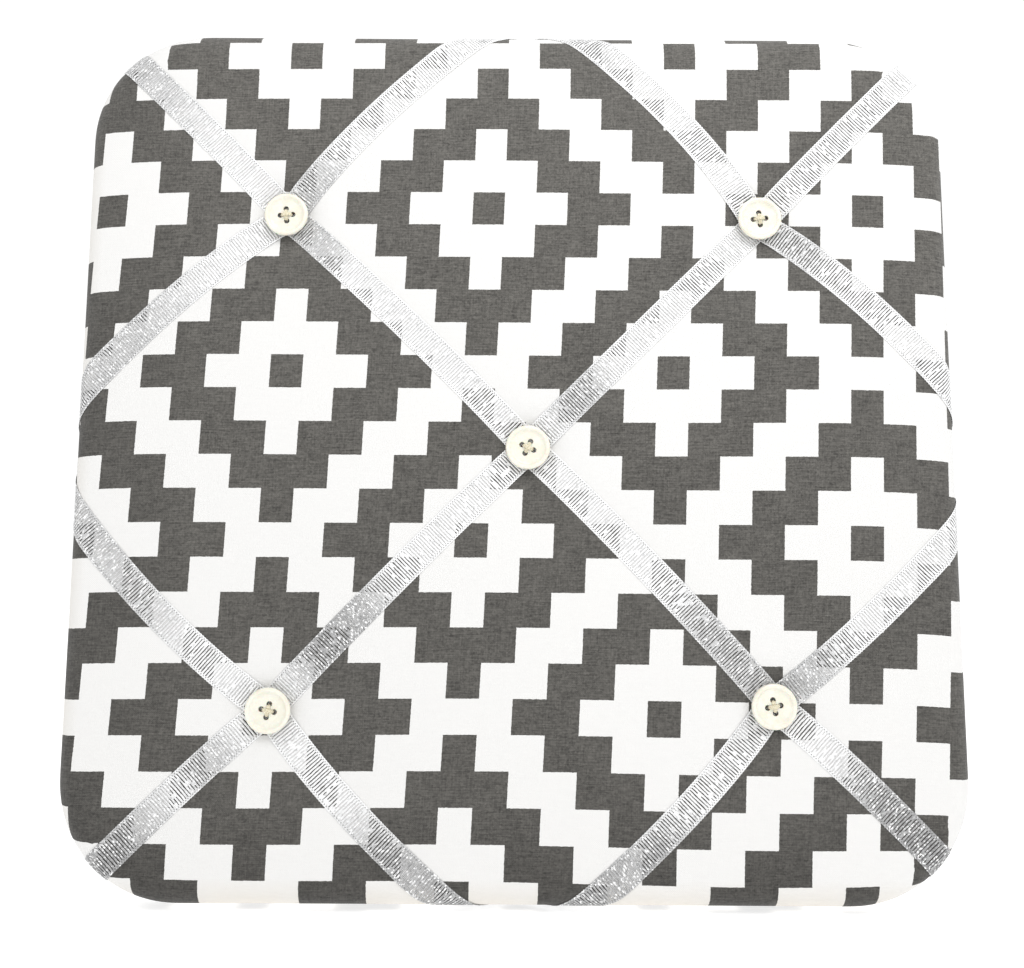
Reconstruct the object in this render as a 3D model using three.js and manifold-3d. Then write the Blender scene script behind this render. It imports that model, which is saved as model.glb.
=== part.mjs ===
// Padded fabric memo board with criss-crossed ribbons and sewn-on buttons.
// Millimetres, +Z up. The face looks towards -Y, the wall side towards +Y.
// The origin is the middle of the back lining's outer face.
//
// The shapes are first drawn in a working frame (x across, y up, z = depth d measured from the
// lining's outer face towards the viewer) and then turned so that depth runs along -Y.
import * as THREE from 'three';
import { mergeVertices } from 'three/addons/utils/BufferGeometryUtils.js';
import Module from 'manifold-3d';

const wasm = await Module();
wasm.setup();

// ---------------------------------------------------------------- driving dimensions (mm)
const HALF = 148.5;            // half the width of the covered board
const CORNER_R = 40;           // corner radius of the covered board
const EDGE_A = 6.5;            // padded edge: how far the rounding reaches in from the side
const EDGE_B = 6;              // padded edge: how deep the rounding is
const EDGE_STEPS = 4;
const CORNER_STEPS = 4;
const GAP = 0.3;               // running gap between neighbouring pieces

const LINING_D = [0, 1.5];     // depth ranges, from the back towards the face
const INFILL_D = [1.8, 4.5];
const HEM_D = [3.9, 4.5];
const BOARD_D = [4.8, 9.8];
const WADDING_D = [10.1, 18.6];
const FACE_D = [18.9, 19.5];   // fabric on the face
const FABRIC_T = 0.6;
const HEM_W = 34;              // turn-over on the back
const LINING_INSET = 13;
const LINING_R = 27;
const INFILL_INSET = 36;
const INFILL_R = 8;

const RIBBON_W = 10.3;
const RIBBON_T = 0.4;
const TAIL = 28;               // ribbon end on the back
const STAPLE_IN = 22.5;        // staple's distance in from the edge

const BUTTON_R = 7.5;
const BUTTON_D = [17.3, 18.9, 19.9];   // underside, floor of the dish, top of the rim
const HOLE_PITCH = 3.06;
const HOLE_R = 0.85;
const THREAD_HOLE_R = 1.35;

// tufted hollow around each button: radius, depth
const HOLLOW = [[9, 4.5], [14, 2.9], [20, 0.9], [27, 0]];
const HOLLOW_SIDES = 12;

// button centres (x, z) and how far each one is turned
const BUTTONS = {
  upper_left: { at: [-79.4, 80.6], turn: 0.86 },
  upper_right: { at: [83.5, 80.1], turn: 0.89 },
  centre: { at: [4.0, 0.1], turn: 0.35 },
  lower_left: { at: [-80.3, -86.9], turn: 0.575 },
  lower_right: { at: [84.5, -84.8], turn: 0.97 },
};

// where the ribbons run: for each end the point it makes for and how far the run bows sideways on its
// way there from the button, the points it passes under the buttons, and the bow of the runs between them
const RIBBONS = {
  ribbon_diagonal_a: { ends: [[-131.6, 133.3], [137.2, -134.2]], bows: [-0.5, 1.05], over: [], high_tail: false,
    through: [[-79.1, 80.9], [4.2, 0.3], [85.1, -84.3]], between: [1.1, 1.0] },
  ribbon_diagonal_b: { ends: [[132.8, 129.6], [-131.4, -134.5]], bows: [0.3, -0.6], over: ['centre'], high_tail: false,
    through: [[84.0, 79.6], [4.1, 0.0], [-80.7, -86.5]], between: [0.1, -0.75] },
  ribbon_upper_left: { ends: [[-15.3, 145.8], [-144.8, 19.9]], bows: [2.65, -2.4], over: ['upper_left'], high_tail: false,
    through: [[-79.4, 80.6]], between: [] },
  ribbon_upper_right: { ends: [[22.9, 145.7], [146.6, 20.8]], bows: [-3.35, 2.7], over: ['upper_right'], high_tail: true,
    through: [[83.0, 79.6]], between: [] },
  ribbon_lower_left: { ends: [[-144.8, -24.9], [-21.7, -147.0]], bows: [2.85, -2.15], over: ['lower_left'], high_tail: true,
    through: [[-80.4, -87.0]], between: [] },
  ribbon_lower_right: { ends: [[144.7, -29.3], [24.3, -146.9]], bows: [-1.45, 2.25], over: ['lower_right'], high_tail: false,
    through: [[84.5, -84.8]], between: [] },
};

// hangers on the back
const HANGER_X = 80;           // hinge axis of each ring
const HANGER_Z = 48;
const AXIS_D = -2.45;
const STRAP_D = [-1.15, -0.25];
const STRAP_W = 9;
const STRAP_L = 26;
const BARREL_R = 2.2;
const BARREL_BORE = 1.45;
const WIRE_R = 1.1;
const RING_HALF = 7;           // half the length of the ring's bar
const RING_LEG = 4;
const SCREW_AT = [6.3, 16.2];  // from the hinge axis

// ---------------------------------------------------------------- helpers
function solid(geometry) {
  const g = geometry.clone();
  g.deleteAttribute('normal');
  g.deleteAttribute('uv');
  const m = mergeVertices(g, 1e-4);
  return new wasm.Manifold(new wasm.Mesh({
    numProp: 3,
    vertProperties: new Float32Array(m.attributes.position.array),
    triVerts: new Uint32Array(m.index.array),
  }));
}

function geometryOf(man) {
  const mesh = man.getMesh();
  const g = new THREE.BufferGeometry();
  const n = mesh.vertProperties.length / mesh.numProp;
  const pos = new Float32Array(3 * n);
  for (let i = 0; i < n; i++) {
    for (let k = 0; k < 3; k++) pos[3 * i + k] = mesh.vertProperties[mesh.numProp * i + k];
  }
  g.setAttribute('position', new THREE.BufferAttribute(pos, 3));
  g.setIndex(Array.from(mesh.triVerts));
  return g;
}

function roundedSquare(half, r) {
  const s = new THREE.Shape();
  const c = half - r;
  s.moveTo(-c, -half);
  s.lineTo(c, -half);
  s.absarc(c, -c, r, -Math.PI / 2, 0, false);
  s.lineTo(half, c);
  s.absarc(c, c, r, 0, Math.PI / 2, false);
  s.lineTo(-c, half);
  s.absarc(-c, c, r, Math.PI / 2, Math.PI, false);
  s.lineTo(-half, -c);
  s.absarc(-c, -c, r, Math.PI, 1.5 * Math.PI, false);
  return s;
}

// square slab with rounded corners between two depths
function slab(half, r, d0, d1) {
  const g = new THREE.ExtrudeGeometry(roundedSquare(half, r), { depth: d1 - d0, bevelEnabled: false, curveSegments: CORNER_STEPS });
  return g.translate(0, 0, d0);
}

// the same slab with its front edge rolled over
function pillow(half, r, a, b, d0, d1) {
  const core = d1 - b - d0 + 20;
  const g = new THREE.ExtrudeGeometry(roundedSquare(half - a, r - a), {
    depth: core, bevelEnabled: true, bevelThickness: b, bevelSize: a, bevelSegments: EDGE_STEPS, curveSegments: CORNER_STEPS,
  });
  g.translate(0, 0, d1 - b - core);
  const keep = new THREE.BoxGeometry(400, 400, 100).translate(0, 0, d0 + 50);
  return solid(g).intersect(solid(keep));
}

function cylinder(r, d0, d1, x, y, sides) {
  return new THREE.CylinderGeometry(r, r, d1 - d0, sides).rotateX(Math.PI / 2).translate(x, y, (d0 + d1) / 2);
}

// hollow of the tufting as a plug to cut away, below a front plane at depth d
function plug(d, [x, y]) {
  const pts = [new THREE.Vector2(0, d - HOLLOW[0][1])];
  HOLLOW.forEach(([r, h], i) => pts.push(new THREE.Vector2(r, d - h + (i === HOLLOW.length - 1 ? 0.03 : 0))));
  const last = HOLLOW[HOLLOW.length - 1][0];
  pts.push(new THREE.Vector2(last, d + 3), new THREE.Vector2(0, d + 3));
  return solid(new THREE.LatheGeometry(pts, HOLLOW_SIDES).rotateX(Math.PI / 2).translate(x, y, 0));
}

function hollowDepth(r) {
  if (r <= HOLLOW[0][0]) return HOLLOW[0][1];
  for (let i = 1; i < HOLLOW.length; i++) {
    if (r <= HOLLOW[i][0]) {
      const t = (r - HOLLOW[i - 1][0]) / (HOLLOW[i][0] - HOLLOW[i - 1][0]);
      return HOLLOW[i - 1][1] * (1 - t) + HOLLOW[i][1] * t;
    }
  }
  return 0;
}

const dot = (a, b) => a[0] * b[0] + a[1] * b[1];
const unit = (a) => { const l = Math.hypot(...a); return [a[0] / l, a[1] / l]; };

const group = new THREE.Group();
const finish = {
  print: { color: 0xd9d6d0, roughness: 0.9, metalness: 0 },
  ribbon: { color: 0xe6e8ea, roughness: 0.45, metalness: 0.35 },
  button: { color: 0xf1ecdb, roughness: 0.3, metalness: 0 },
  thread: { color: 0xe9dfc4, roughness: 0.8, metalness: 0 },
  board: { color: 0xa98458, roughness: 0.8, metalness: 0 },
  wadding: { color: 0xf4f3ef, roughness: 1, metalness: 0 },
  lining: { color: 0x5f5c58, roughness: 1, metalness: 0 },
  card: { color: 0x9a9285, roughness: 0.9, metalness: 0 },
  steel: { color: 0xbfc3c6, roughness: 0.35, metalness: 1 },
};

function add(name, shape, look) {
  const g = shape.isBufferGeometry ? shape.clone() : geometryOf(shape);
  g.rotateX(Math.PI / 2);       // depth becomes -Y, up becomes +Z
  const flat = g.index ? g.toNonIndexed() : g;
  flat.computeVertexNormals();
  const mesh = new THREE.Mesh(flat, new THREE.MeshStandardMaterial(finish[look]));
  mesh.name = name;
  group.add(mesh);
}

// ---------------------------------------------------------------- ribbons
// unrolled profile of the covered edge: front rounding, side, back
function edgeProfile(outer) {
  const pts = [];
  const nc = outer - EDGE_A;
  const dc = FACE_D[1] - EDGE_B;
  let v = 0;
  for (let i = 0; i <= EDGE_STEPS; i++) {
    const f = (i / EDGE_STEPS) * Math.PI / 2;
    const p = [nc + EDGE_A * Math.sin(f), dc + EDGE_B * Math.cos(f)];
    const nrm = unit([Math.sin(f) / EDGE_A, Math.cos(f) / EDGE_B]);
    if (i > 0) v += Math.hypot(p[0] - pts[i - 1].p[0], p[1] - pts[i - 1].p[1]);
    pts.push({ p, nrm, v });
  }
  v += dc - HEM_D[0];
  pts.push({ p: [outer, HEM_D[0]], nrm: [1, -1], v });
  pts.push({ p: [outer - TAIL, HEM_D[0]], nrm: [0, -1], v: v + TAIL });
  return pts;
}

// outward direction and reach of the edge or corner that a ribbon end runs over
function edgeAt([x, y]) {
  const c = HALF - CORNER_R;
  if (Math.abs(x) > c && Math.abs(y) > c) {
    const centre = [Math.sign(x) * c, Math.sign(y) * c];
    const n = unit([x - centre[0], y - centre[1]]);
    return { n, outer: dot(centre, n) + CORNER_R };
  }
  const n = Math.abs(x) > Math.abs(y) ? [Math.sign(x), 0] : [0, Math.sign(y)];
  return { n, outer: HALF };
}

const staples = [];

// point and heading a given way along a gently bowed run
function bowed(from, to, bow, way) {
  const l = Math.hypot(to[0] - from[0], to[1] - from[1]);
  const t = unit([to[0] - from[0], to[1] - from[1]]);
  const c = [-t[1], t[0]];
  const f = way / l;
  const o = 4 * bow * f * (1 - f);
  const turn = 4 * bow * (1 - 2 * f) / l;
  return { at: [from[0] + way * t[0] + o * c[0], from[1] + way * t[1] + o * c[1]], heading: unit([t[0] + turn * c[0], t[1] + turn * c[1]]), length: l };
}

function ribbon(spec) {
  const knots = spec.through;
  const overAt = spec.over.map((k) => BUTTONS[k].at);
  const w = RIBBON_W / 2;
  const rows = [];

  const faceDepth = (x, y) => {
    let h = 0;
    for (const b of Object.values(BUTTONS)) h = Math.max(h, hollowDepth(Math.hypot(x - b.at[0], y - b.at[1])));
    return FACE_D[1] - h;
  };
  const lift = (cx, cy) => {     // extra height where this ribbon passes over another one
    let l = 0;
    for (const b of overAt) {
      const r = Math.hypot(cx - b[0], cy - b[1]);
      l = Math.max(l, r <= 6 ? 1 : r >= 14 ? 0 : (14 - r) / 8);
    }
    return l * (RIBBON_T + GAP);
  };
  const flatRow = (c, across) => {
    const side = (k) => {
      const p = [c[0] + k * w * across[0], c[1] + k * w * across[1]];
      const d = faceDepth(p[0], p[1]) + GAP + lift(c[0], c[1]);
      return { low: [p[0], p[1], d], high: [p[0], p[1], d + RIBBON_T] };
    };
    rows.push({ left: side(1), right: side(-1) });
  };
  const endRows = (button, towards, bow) => {
    const { n, outer } = edgeAt(towards);
    const e = [-n[1], n[0]];
    const n0 = outer - EDGE_A;
    // the run's last point on the flat face, and its heading there
    let way = 0;
    while (dot(bowed(button, towards, bow, way).at, n) < n0) way += 0.05;
    const { at: from, heading: t } = bowed(button, towards, bow, way);
    const across = [-t[1], t[0]];
    for (const s of [6, 9, 14, 20, 27, 42, 57]) {
      if (s > way - 10) break;
      const run = bowed(button, towards, bow, s);
      flatRow(run.at, [-run.heading[1], run.heading[0]]);
    }
    const profile = edgeProfile(outer);
    const reach = profile[EDGE_STEPS].v;
    const place = (k, row, off) => {
      const s = (n0 + row.v - dot(from, n) - k * w * dot(across, n)) / dot(t, n);
      const u = dot([from[0] + s * t[0] + k * w * across[0], from[1] + s * t[1] + k * w * across[1]], e);
      const q = [row.p[0] + off * row.nrm[0], row.p[1] + off * row.nrm[1]];
      return [q[0] * n[0] + u * e[0], q[0] * n[1] + u * e[1], q[1]];
    };
    for (const row of profile) {
      const raised = spec.high_tail ? Math.min(1, row.v / (0.7 * reach)) * (RIBBON_T + GAP) : 0;
      const side = (k) => ({ low: place(k, row, GAP + raised), high: place(k, row, GAP + raised + RIBBON_T) });
      rows.push({ left: side(1), right: side(-1) });
    }
    // staple that holds the end on the back
    const back = profile[profile.length - 2].v + STAPLE_IN;
    const row = { p: [outer - STAPLE_IN, HEM_D[0]], nrm: [0, -1], v: back };
    const l = place(1, row, 0);
    const r = place(-1, row, 0);
    const top = HEM_D[0] - GAP - RIBBON_T - (spec.high_tail ? RIBBON_T + GAP : 0) - 0.25;
    staples.push({ at: [(l[0] + r[0]) / 2, (l[1] + r[1]) / 2], along: e, crown: top });
    return { across, t };
  };

  // first end, run from the edge towards the first button
  endRows(knots[0], spec.ends[0], spec.bows[0]);
  rows.reverse();
  for (const r of rows) [r.left, r.right] = [r.right, r.left];
  const last = knots.length - 1;
  knots.forEach((k, i) => {
    const out = i === 0 ? bowed(k, spec.ends[0], spec.bows[0], 0).heading : null;
    const before = i === 0 ? [-out[0], -out[1]] : bowed(knots[i - 1], k, spec.between[i - 1], bowed(knots[i - 1], k, 0, 0).length).heading;
    const after = i === last ? bowed(k, spec.ends[1], spec.bows[1], 0).heading : bowed(k, knots[i + 1], spec.between[i], 0).heading;
    const t = unit([before[0] + after[0], before[1] + after[1]]);
    flatRow(k, [-t[1], t[0]]);
    if (i < last) {
      const l = bowed(k, knots[i + 1], 0, 0).length;
      for (const s of [6, 9, 14, 20, 27, l / 2, l - 27, l - 20, l - 14, l - 9, l - 6]) {
        const run = bowed(k, knots[i + 1], spec.between[i], s);
        flatRow(run.at, [-run.heading[1], run.heading[0]]);
      }
    }
  });
  endRows(knots[last], spec.ends[1], spec.bows[1]);

  // a straight strip, bent row by row
  const n = rows.length - 1;
  const g = new THREE.BoxGeometry(1, 1, 1, n, 1, 1);
  const pos = g.attributes.position;
  for (let i = 0; i < pos.count; i++) {
    const row = rows[Math.round((pos.getX(i) + 0.5) * n)];
    const side = pos.getY(i) > 0 ? row.left : row.right;
    const p = pos.getZ(i) > 0 ? side.high : side.low;
    pos.setXYZ(i, p[0], p[1], p[2]);
  }
  return solid(g);
}

const ribbons = {};
for (const [name, spec] of Object.entries(RIBBONS)) ribbons[name] = ribbon(spec);

// staples along the fabric's turn-over, between the ribbon ends
for (const s of [-1, 1]) {
  for (const u of [-76, 76]) {
    const k = s * (HALF - 25);
    staples.push({ at: [k, u], along: [0, 1], crown: HEM_D[0] - 0.25 });
    staples.push({ at: [u, k], along: [1, 0], crown: HEM_D[0] - 0.25 });
  }
}

const STAPLE_W = 8;
const STAPLE_LEG = 0.6;
const STAPLE_CROWN = 0.5;
const STAPLE_WIDE = 1.1;
const STAPLE_TIP = 8.3;

function placed(g, s) {
  const e = new THREE.Vector3(s.along[0], s.along[1], 0);
  const d = new THREE.Vector3(0, 0, 1);
  const m = new THREE.Matrix4().makeBasis(e, d, new THREE.Vector3().crossVectors(e, d));
  return g.applyMatrix4(m).translate(s.at[0], s.at[1], 0);
}

function staple(s) {
  const o = STAPLE_W / 2;
  const i = o - STAPLE_LEG;
  const top = s.crown - STAPLE_CROWN;
  const shape = new THREE.Shape([
    [-o, STAPLE_TIP], [-o, top], [o, top], [o, STAPLE_TIP], [i, STAPLE_TIP], [i, s.crown], [-i, s.crown], [-i, STAPLE_TIP],
  ].map(([x, y]) => new THREE.Vector2(x, y)));
  const g = new THREE.ExtrudeGeometry(shape, { depth: STAPLE_WIDE, bevelEnabled: false }).translate(0, 0, -STAPLE_WIDE / 2);
  return placed(g, s);
}

function stapleHoles(s) {
  const x = STAPLE_W / 2 - STAPLE_LEG / 2;
  return [-x, x].map((k) => solid(placed(
    new THREE.BoxGeometry(STAPLE_LEG + 0.5, 8, STAPLE_WIDE + 0.5).translate(k, STAPLE_TIP + 0.25 - 4, 0), s)));
}

// ---------------------------------------------------------------- cover, wadding, board
const spots = Object.values(BUTTONS).map((b) => b.at);
const screws = [-1, 1].flatMap((s) => SCREW_AT.map((x) => [s * (HANGER_X + x), HANGER_Z]));

let cover = pillow(HALF, CORNER_R, EDGE_A, EDGE_B, HEM_D[0], FACE_D[1]);
let inside = pillow(HALF - FABRIC_T, CORNER_R - FABRIC_T, EDGE_A - FABRIC_T, EDGE_B - FABRIC_T, HEM_D[1], FACE_D[0]);
let wadding = pillow(HALF - FABRIC_T - GAP, CORNER_R - FABRIC_T - GAP, EDGE_A - FABRIC_T - GAP, EDGE_B - FABRIC_T - GAP, WADDING_D[0], WADDING_D[1]);
for (const at of spots) {
  cover = cover.subtract(plug(FACE_D[1], at));
  inside = inside.subtract(plug(FACE_D[0], at));
  wadding = wadding.subtract(plug(WADDING_D[1], at));
}
cover = cover.subtract(inside).subtract(solid(slab(HALF - HEM_W, 12, HEM_D[0] - 1, HEM_D[1] + 0.1)));
let board = solid(slab(HALF - FABRIC_T - GAP, CORNER_R - FABRIC_T - GAP, BOARD_D[0], BOARD_D[1]));
let infill = solid(slab(HALF - INFILL_INSET, INFILL_R, INFILL_D[0], INFILL_D[1]));

for (const [x, y] of spots) {
  const bore = solid(cylinder(THREAD_HOLE_R, 2, 30, x, y, 8));
  cover = cover.subtract(bore);
  wadding = wadding.subtract(bore);
  board = board.subtract(bore);
  infill = infill.subtract(solid(cylinder(7, 1, 6, x, y, 10)));
  for (const name of Object.keys(ribbons)) ribbons[name] = ribbons[name].subtract(bore);
}
for (const [x, y] of screws) {
  const bore = solid(cylinder(1.7, -1, 9, x, y, 8));
  board = board.subtract(bore);
  infill = infill.subtract(bore);
}
for (const s of staples) {
  for (const hole of stapleHoles(s)) {
    cover = cover.subtract(hole);
    board = board.subtract(hole);
    for (const name of Object.keys(ribbons)) ribbons[name] = ribbons[name].subtract(hole);
  }
}

// felt lining: an upper panel that carries the hangers and a plain lower panel, in one sheet
const liningHalf = HALF - LINING_INSET;
const liningCut = 20;
const liningWhole = solid(slab(liningHalf, LINING_R, LINING_D[0], LINING_D[1]));
const upperBox = solid(new THREE.BoxGeometry(400, 400, 20).translate(0, liningCut + 200, 0));
const lowerBox = solid(new THREE.BoxGeometry(400, 400, 20).translate(0, liningCut - 200, 0));
let liningUpper = liningWhole.intersect(upperBox);
const liningLower = liningWhole.intersect(lowerBox);
for (const [x, y] of screws) liningUpper = liningUpper.subtract(solid(cylinder(1.7, -1, 9, x, y, 8)));
const lining = liningUpper.add(liningLower);

add('backing_board', board, 'board');
add('wadding', wadding, 'wadding');
add('fabric_cover', cover, 'print');
add('infill_card', infill, 'card');
add('back_lining', lining, 'lining');
for (const [name, r] of Object.entries(ribbons)) add(name, r, 'ribbon');

// ---------------------------------------------------------------- buttons, thread, anchors
const [bLow, bFloor, bTop] = BUTTON_D;
for (const [name, b] of Object.entries(BUTTONS)) {
  const [x, y] = b.at;
  const R = BUTTON_R;
  const profile = [
    [0, bLow], [R - 2.0, bLow], [R - 0.3, bLow + 0.9], [R, bLow + 1.6], [R - 0.3, bTop - 0.3], [R - 0.9, bTop],
    [R - 1.5, bTop - 0.2], [R - 2.3, bFloor], [0, bFloor],
  ].map(([r, d]) => new THREE.Vector2(r, d));
  let button = solid(new THREE.LatheGeometry(profile, 14).rotateX(Math.PI / 2));
  const corners = [0, 1, 2, 3].map((i) => {
    const a = b.turn + Math.PI / 4 + i * Math.PI / 2;
    const r = HOLE_PITCH / Math.SQRT2;
    return [r * Math.cos(a), r * Math.sin(a)];
  });
  for (const c of corners) button = button.subtract(solid(cylinder(HOLE_R, bLow - 1, bTop + 1, c[0], c[1], 6)));
  add(`button_${name}`, geometryOf(button).translate(x, y, 0), 'button');

  // sewing thread: two crossed stitches, four legs, a shank through the board and a knot behind it
  let thread = solid(cylinder(0.9, 2.2, bLow - 0.4, 0, 0, 6));
  thread = thread.add(solid(cylinder(3.0, bLow - 0.75, bLow - 0.3, 0, 0, 8)));
  thread = thread.add(solid(cylinder(2.1, 1.9, 2.7, 0, 0, 6)));
  const barD = bFloor + 0.7;
  for (const c of corners) thread = thread.add(solid(cylinder(0.48, bLow - 0.6, barD, c[0], c[1], 4)));
  for (const i of [0, 1]) {
    const a = Math.atan2(corners[i][1], corners[i][0]);
    const bar = new THREE.CylinderGeometry(0.5, 0.5, 2 * Math.hypot(...corners[i]) + 0.9, 4)
      .rotateZ(a - Math.PI / 2).translate(0, 0, barD);
    thread = thread.add(solid(bar));
  }
  add(`button_thread_${name}`, geometryOf(thread).translate(x, y, 0), 'thread');

  const ring = [[THREAD_HOLE_R, 3.0], [6, 3.0], [6, 4.5], [THREAD_HOLE_R, 4.5], [THREAD_HOLE_R, 3.0]].map(([r, d]) => new THREE.Vector2(r, d));
  add(`thread_washer_${name}`, new THREE.LatheGeometry(ring, 12).rotateX(Math.PI / 2).translate(x, y, 0), 'card');
}

staples.forEach((s, i) => add(`staple_${String(i + 1).padStart(2, '0')}`, staple(s), 'steel'));

// ---------------------------------------------------------------- ring hangers
for (const side of [-1, 1]) {
  const label = side < 0 ? 'left' : 'right';
  const x0 = side * HANGER_X;

  // drawn for the right-hand hanger with its hinge at x = 0, mirrored by turning half a turn
  const turn = (man) => {
    const g = man.isBufferGeometry ? man : geometryOf(man);
    if (side < 0) g.rotateZ(Math.PI);
    return g.translate(x0, HANGER_Z, 0);
  };

  const outline = new THREE.Shape();
  const h = STRAP_W / 2;
  outline.moveTo(0, -h);
  outline.lineTo(STRAP_L - h, -h);
  outline.absarc(STRAP_L - h, 0, h, -Math.PI / 2, Math.PI / 2, false);
  outline.lineTo(0, h);
  outline.lineTo(0, -h);
  let strap = solid(new THREE.ExtrudeGeometry(outline, { depth: STRAP_D[1] - STRAP_D[0], bevelEnabled: false, curveSegments: 8 }).translate(0, 0, STRAP_D[0]));
  strap = strap.add(solid(new THREE.CylinderGeometry(BARREL_R, BARREL_R, STRAP_W, 16).translate(0, 0, AXIS_D)));
  strap = strap.subtract(solid(new THREE.CylinderGeometry(BARREL_BORE, BARREL_BORE, STRAP_W + 4, 12).translate(0, 0, AXIS_D)));
  for (const s of SCREW_AT) strap = strap.subtract(solid(cylinder(1.7, -5, 1, s, 0, 10)));
  add(`hanger_strap_${label}`, turn(strap), 'steel');

  // D-shaped wire ring: straight bar in the strap's barrel, bow towards the board's middle
  const bow = [];
  const legX = -RING_LEG;
  bow.push([0, RING_HALF], [legX / 2, RING_HALF]);
  for (let i = 0; i <= 8; i++) {
    const a = Math.PI / 2 + (i / 8) * Math.PI;
    bow.push([legX + RING_HALF * Math.cos(a), RING_HALF * Math.sin(a)]);
  }
  bow.push([legX / 2, -RING_HALF], [0, -RING_HALF]);
  const path = new THREE.CurvePath();
  for (let i = 0; i + 1 < bow.length; i++) {
    path.add(new THREE.LineCurve3(new THREE.Vector3(...bow[i], AXIS_D), new THREE.Vector3(...bow[i + 1], AXIS_D)));
  }
  const spline = new THREE.CatmullRomCurve3(bow.map((p) => new THREE.Vector3(...p, AXIS_D)), false, 'centripetal');
  const section = new THREE.Shape();
  for (let i = 0; i < 8; i++) {
    const a = (i / 8) * 2 * Math.PI;
    const p = [WIRE_R * Math.cos(a), WIRE_R * Math.sin(a)];
    if (i === 0) section.moveTo(...p); else section.lineTo(...p);
  }
  let ring = solid(new THREE.ExtrudeGeometry(section, { steps: 18, bevelEnabled: false, extrudePath: spline }));
  ring = ring.add(solid(new THREE.CylinderGeometry(WIRE_R, WIRE_R, 2 * (RING_HALF + 0.7), 8).translate(0, 0, AXIS_D)));
  add(`d_ring_${label}`, turn(ring), 'steel');

  SCREW_AT.forEach((s, i) => {
    const top = STRAP_D[0] - 0.2;
    const pts = [[0, top - 1.4], [1.5, top - 1.25], [2.4, top - 0.6], [2.6, top], [1.25, top], [1.25, 7.4], [0, 8.7]]
      .map(([r, d]) => new THREE.Vector2(r, d));
    const screw = new THREE.LatheGeometry(pts, 10).rotateX(Math.PI / 2).translate(s, 0, 0);
    add(`hanger_screw_${label}_${i + 1}`, turn(screw), 'steel');
  });
}

export default group;
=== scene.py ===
import math

import bmesh
import bpy
import numpy as np
from mathutils import Matrix, Vector
from mathutils.bvhtree import BVHTree


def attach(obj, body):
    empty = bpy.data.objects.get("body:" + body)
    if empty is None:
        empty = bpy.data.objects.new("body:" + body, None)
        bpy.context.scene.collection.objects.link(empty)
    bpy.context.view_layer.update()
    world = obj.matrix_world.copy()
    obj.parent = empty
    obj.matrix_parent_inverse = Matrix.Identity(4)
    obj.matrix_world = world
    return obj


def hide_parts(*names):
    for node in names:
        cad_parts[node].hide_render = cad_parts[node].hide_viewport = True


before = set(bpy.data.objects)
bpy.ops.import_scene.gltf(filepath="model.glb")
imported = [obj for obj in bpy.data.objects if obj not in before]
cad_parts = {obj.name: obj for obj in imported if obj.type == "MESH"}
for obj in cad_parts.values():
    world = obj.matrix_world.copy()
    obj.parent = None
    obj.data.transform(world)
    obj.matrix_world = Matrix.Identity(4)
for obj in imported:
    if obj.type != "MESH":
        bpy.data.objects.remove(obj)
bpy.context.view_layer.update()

scene = bpy.context.scene

# ------------------------------------------------------------------ sizes, as in the construction
HALF, CORNER_R = 148.5, 40.0
EDGE_A, EDGE_B = 6.5, 6.0
FACE_D, HEM_D = 19.5, 3.9
RIBBON_W, RIBBON_TAIL = 10.3, 28.0
BUTTON_R = 7.5
BUTTON_LOW, BUTTON_FLOOR, BUTTON_TOP = 17.3, 18.9, 19.9
HOLE_PITCH, HOLE_R = 3.06, 0.83
HANGER_X, HANGER_Z, AXIS_D = 80.0, 48.0, -2.45

BUTTONS = {
    "upper_left": ((-79.4, 80.6), 0.86),
    "upper_right": ((83.5, 80.1), 0.89),
    "centre": ((4.0, 0.1), 0.35),
    "lower_left": ((-80.3, -86.9), 0.575),
    "lower_right": ((84.5, -84.8), 0.97),
}
# ends: the points the ends make for; bows: how far each end's run bows sideways; through: where it passes under the
# buttons; between: the bows of the runs between them; over: buttons where it lies on top; high: its ends lie on top
RIBBONS = {
    "ribbon_diagonal_a": dict(ends=((-131.6, 133.3), (137.2, -134.2)), bows=(-0.5, 1.05), through=((-79.1, 80.9), (4.2, 0.3), (85.1, -84.3)),
                              between=(1.1, 1.0), over=(), high=False),
    "ribbon_diagonal_b": dict(ends=((132.8, 129.6), (-131.4, -134.5)), bows=(0.3, -0.6), through=((84.0, 79.6), (4.1, 0.0), (-80.7, -86.5)),
                              between=(0.1, -0.75), over=("centre",), high=False),
    "ribbon_upper_left": dict(ends=((-15.3, 145.8), (-144.8, 19.9)), bows=(2.65, -2.4), through=((-79.4, 80.6),), between=(),
                              over=("upper_left",), high=False),
    "ribbon_upper_right": dict(ends=((22.9, 145.7), (146.6, 20.8)), bows=(-3.35, 2.7), through=((83.0, 79.6),), between=(),
                               over=("upper_right",), high=True),
    "ribbon_lower_left": dict(ends=((-144.8, -24.9), (-21.7, -147.0)), bows=(2.85, -2.15), through=((-80.4, -87.0),), between=(),
                              over=("lower_left",), high=True),
    "ribbon_lower_right": dict(ends=((144.7, -29.3), (24.3, -146.9)), bows=(-1.45, 2.25), through=((84.5, -84.8),), between=(),
                               over=("lower_right",), high=False),
}

# painted shade on the ribbons, spots where they are painted darkest: place, reach, strength
PAINTED_SHADE_SPOTS = [((-58, -62), 30, 0.8), ((70, -69), 34, 0.5), ((96, -73), 18, 0.55), ((-69, 91), 16, 0.5), ((-69, 70), 16, 0.5), ((94, 70), 18, 0.45),
          ((22, 18), 18, 0.5), ((128, -124), 40, 0.75), ((-98, -104), 15, 0.5), ((25, 142), 18, 0.3)]

EYE = np.array([-1.34, -50.59, 350.26])      # camera place, as (x, z, d)


# ------------------------------------------------------------------ small helpers
def to_row(p):
    p = np.asarray(p, float)
    return np.stack([p[..., 0], -p[..., 2], p[..., 1]], -1) / 1000.0


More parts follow.
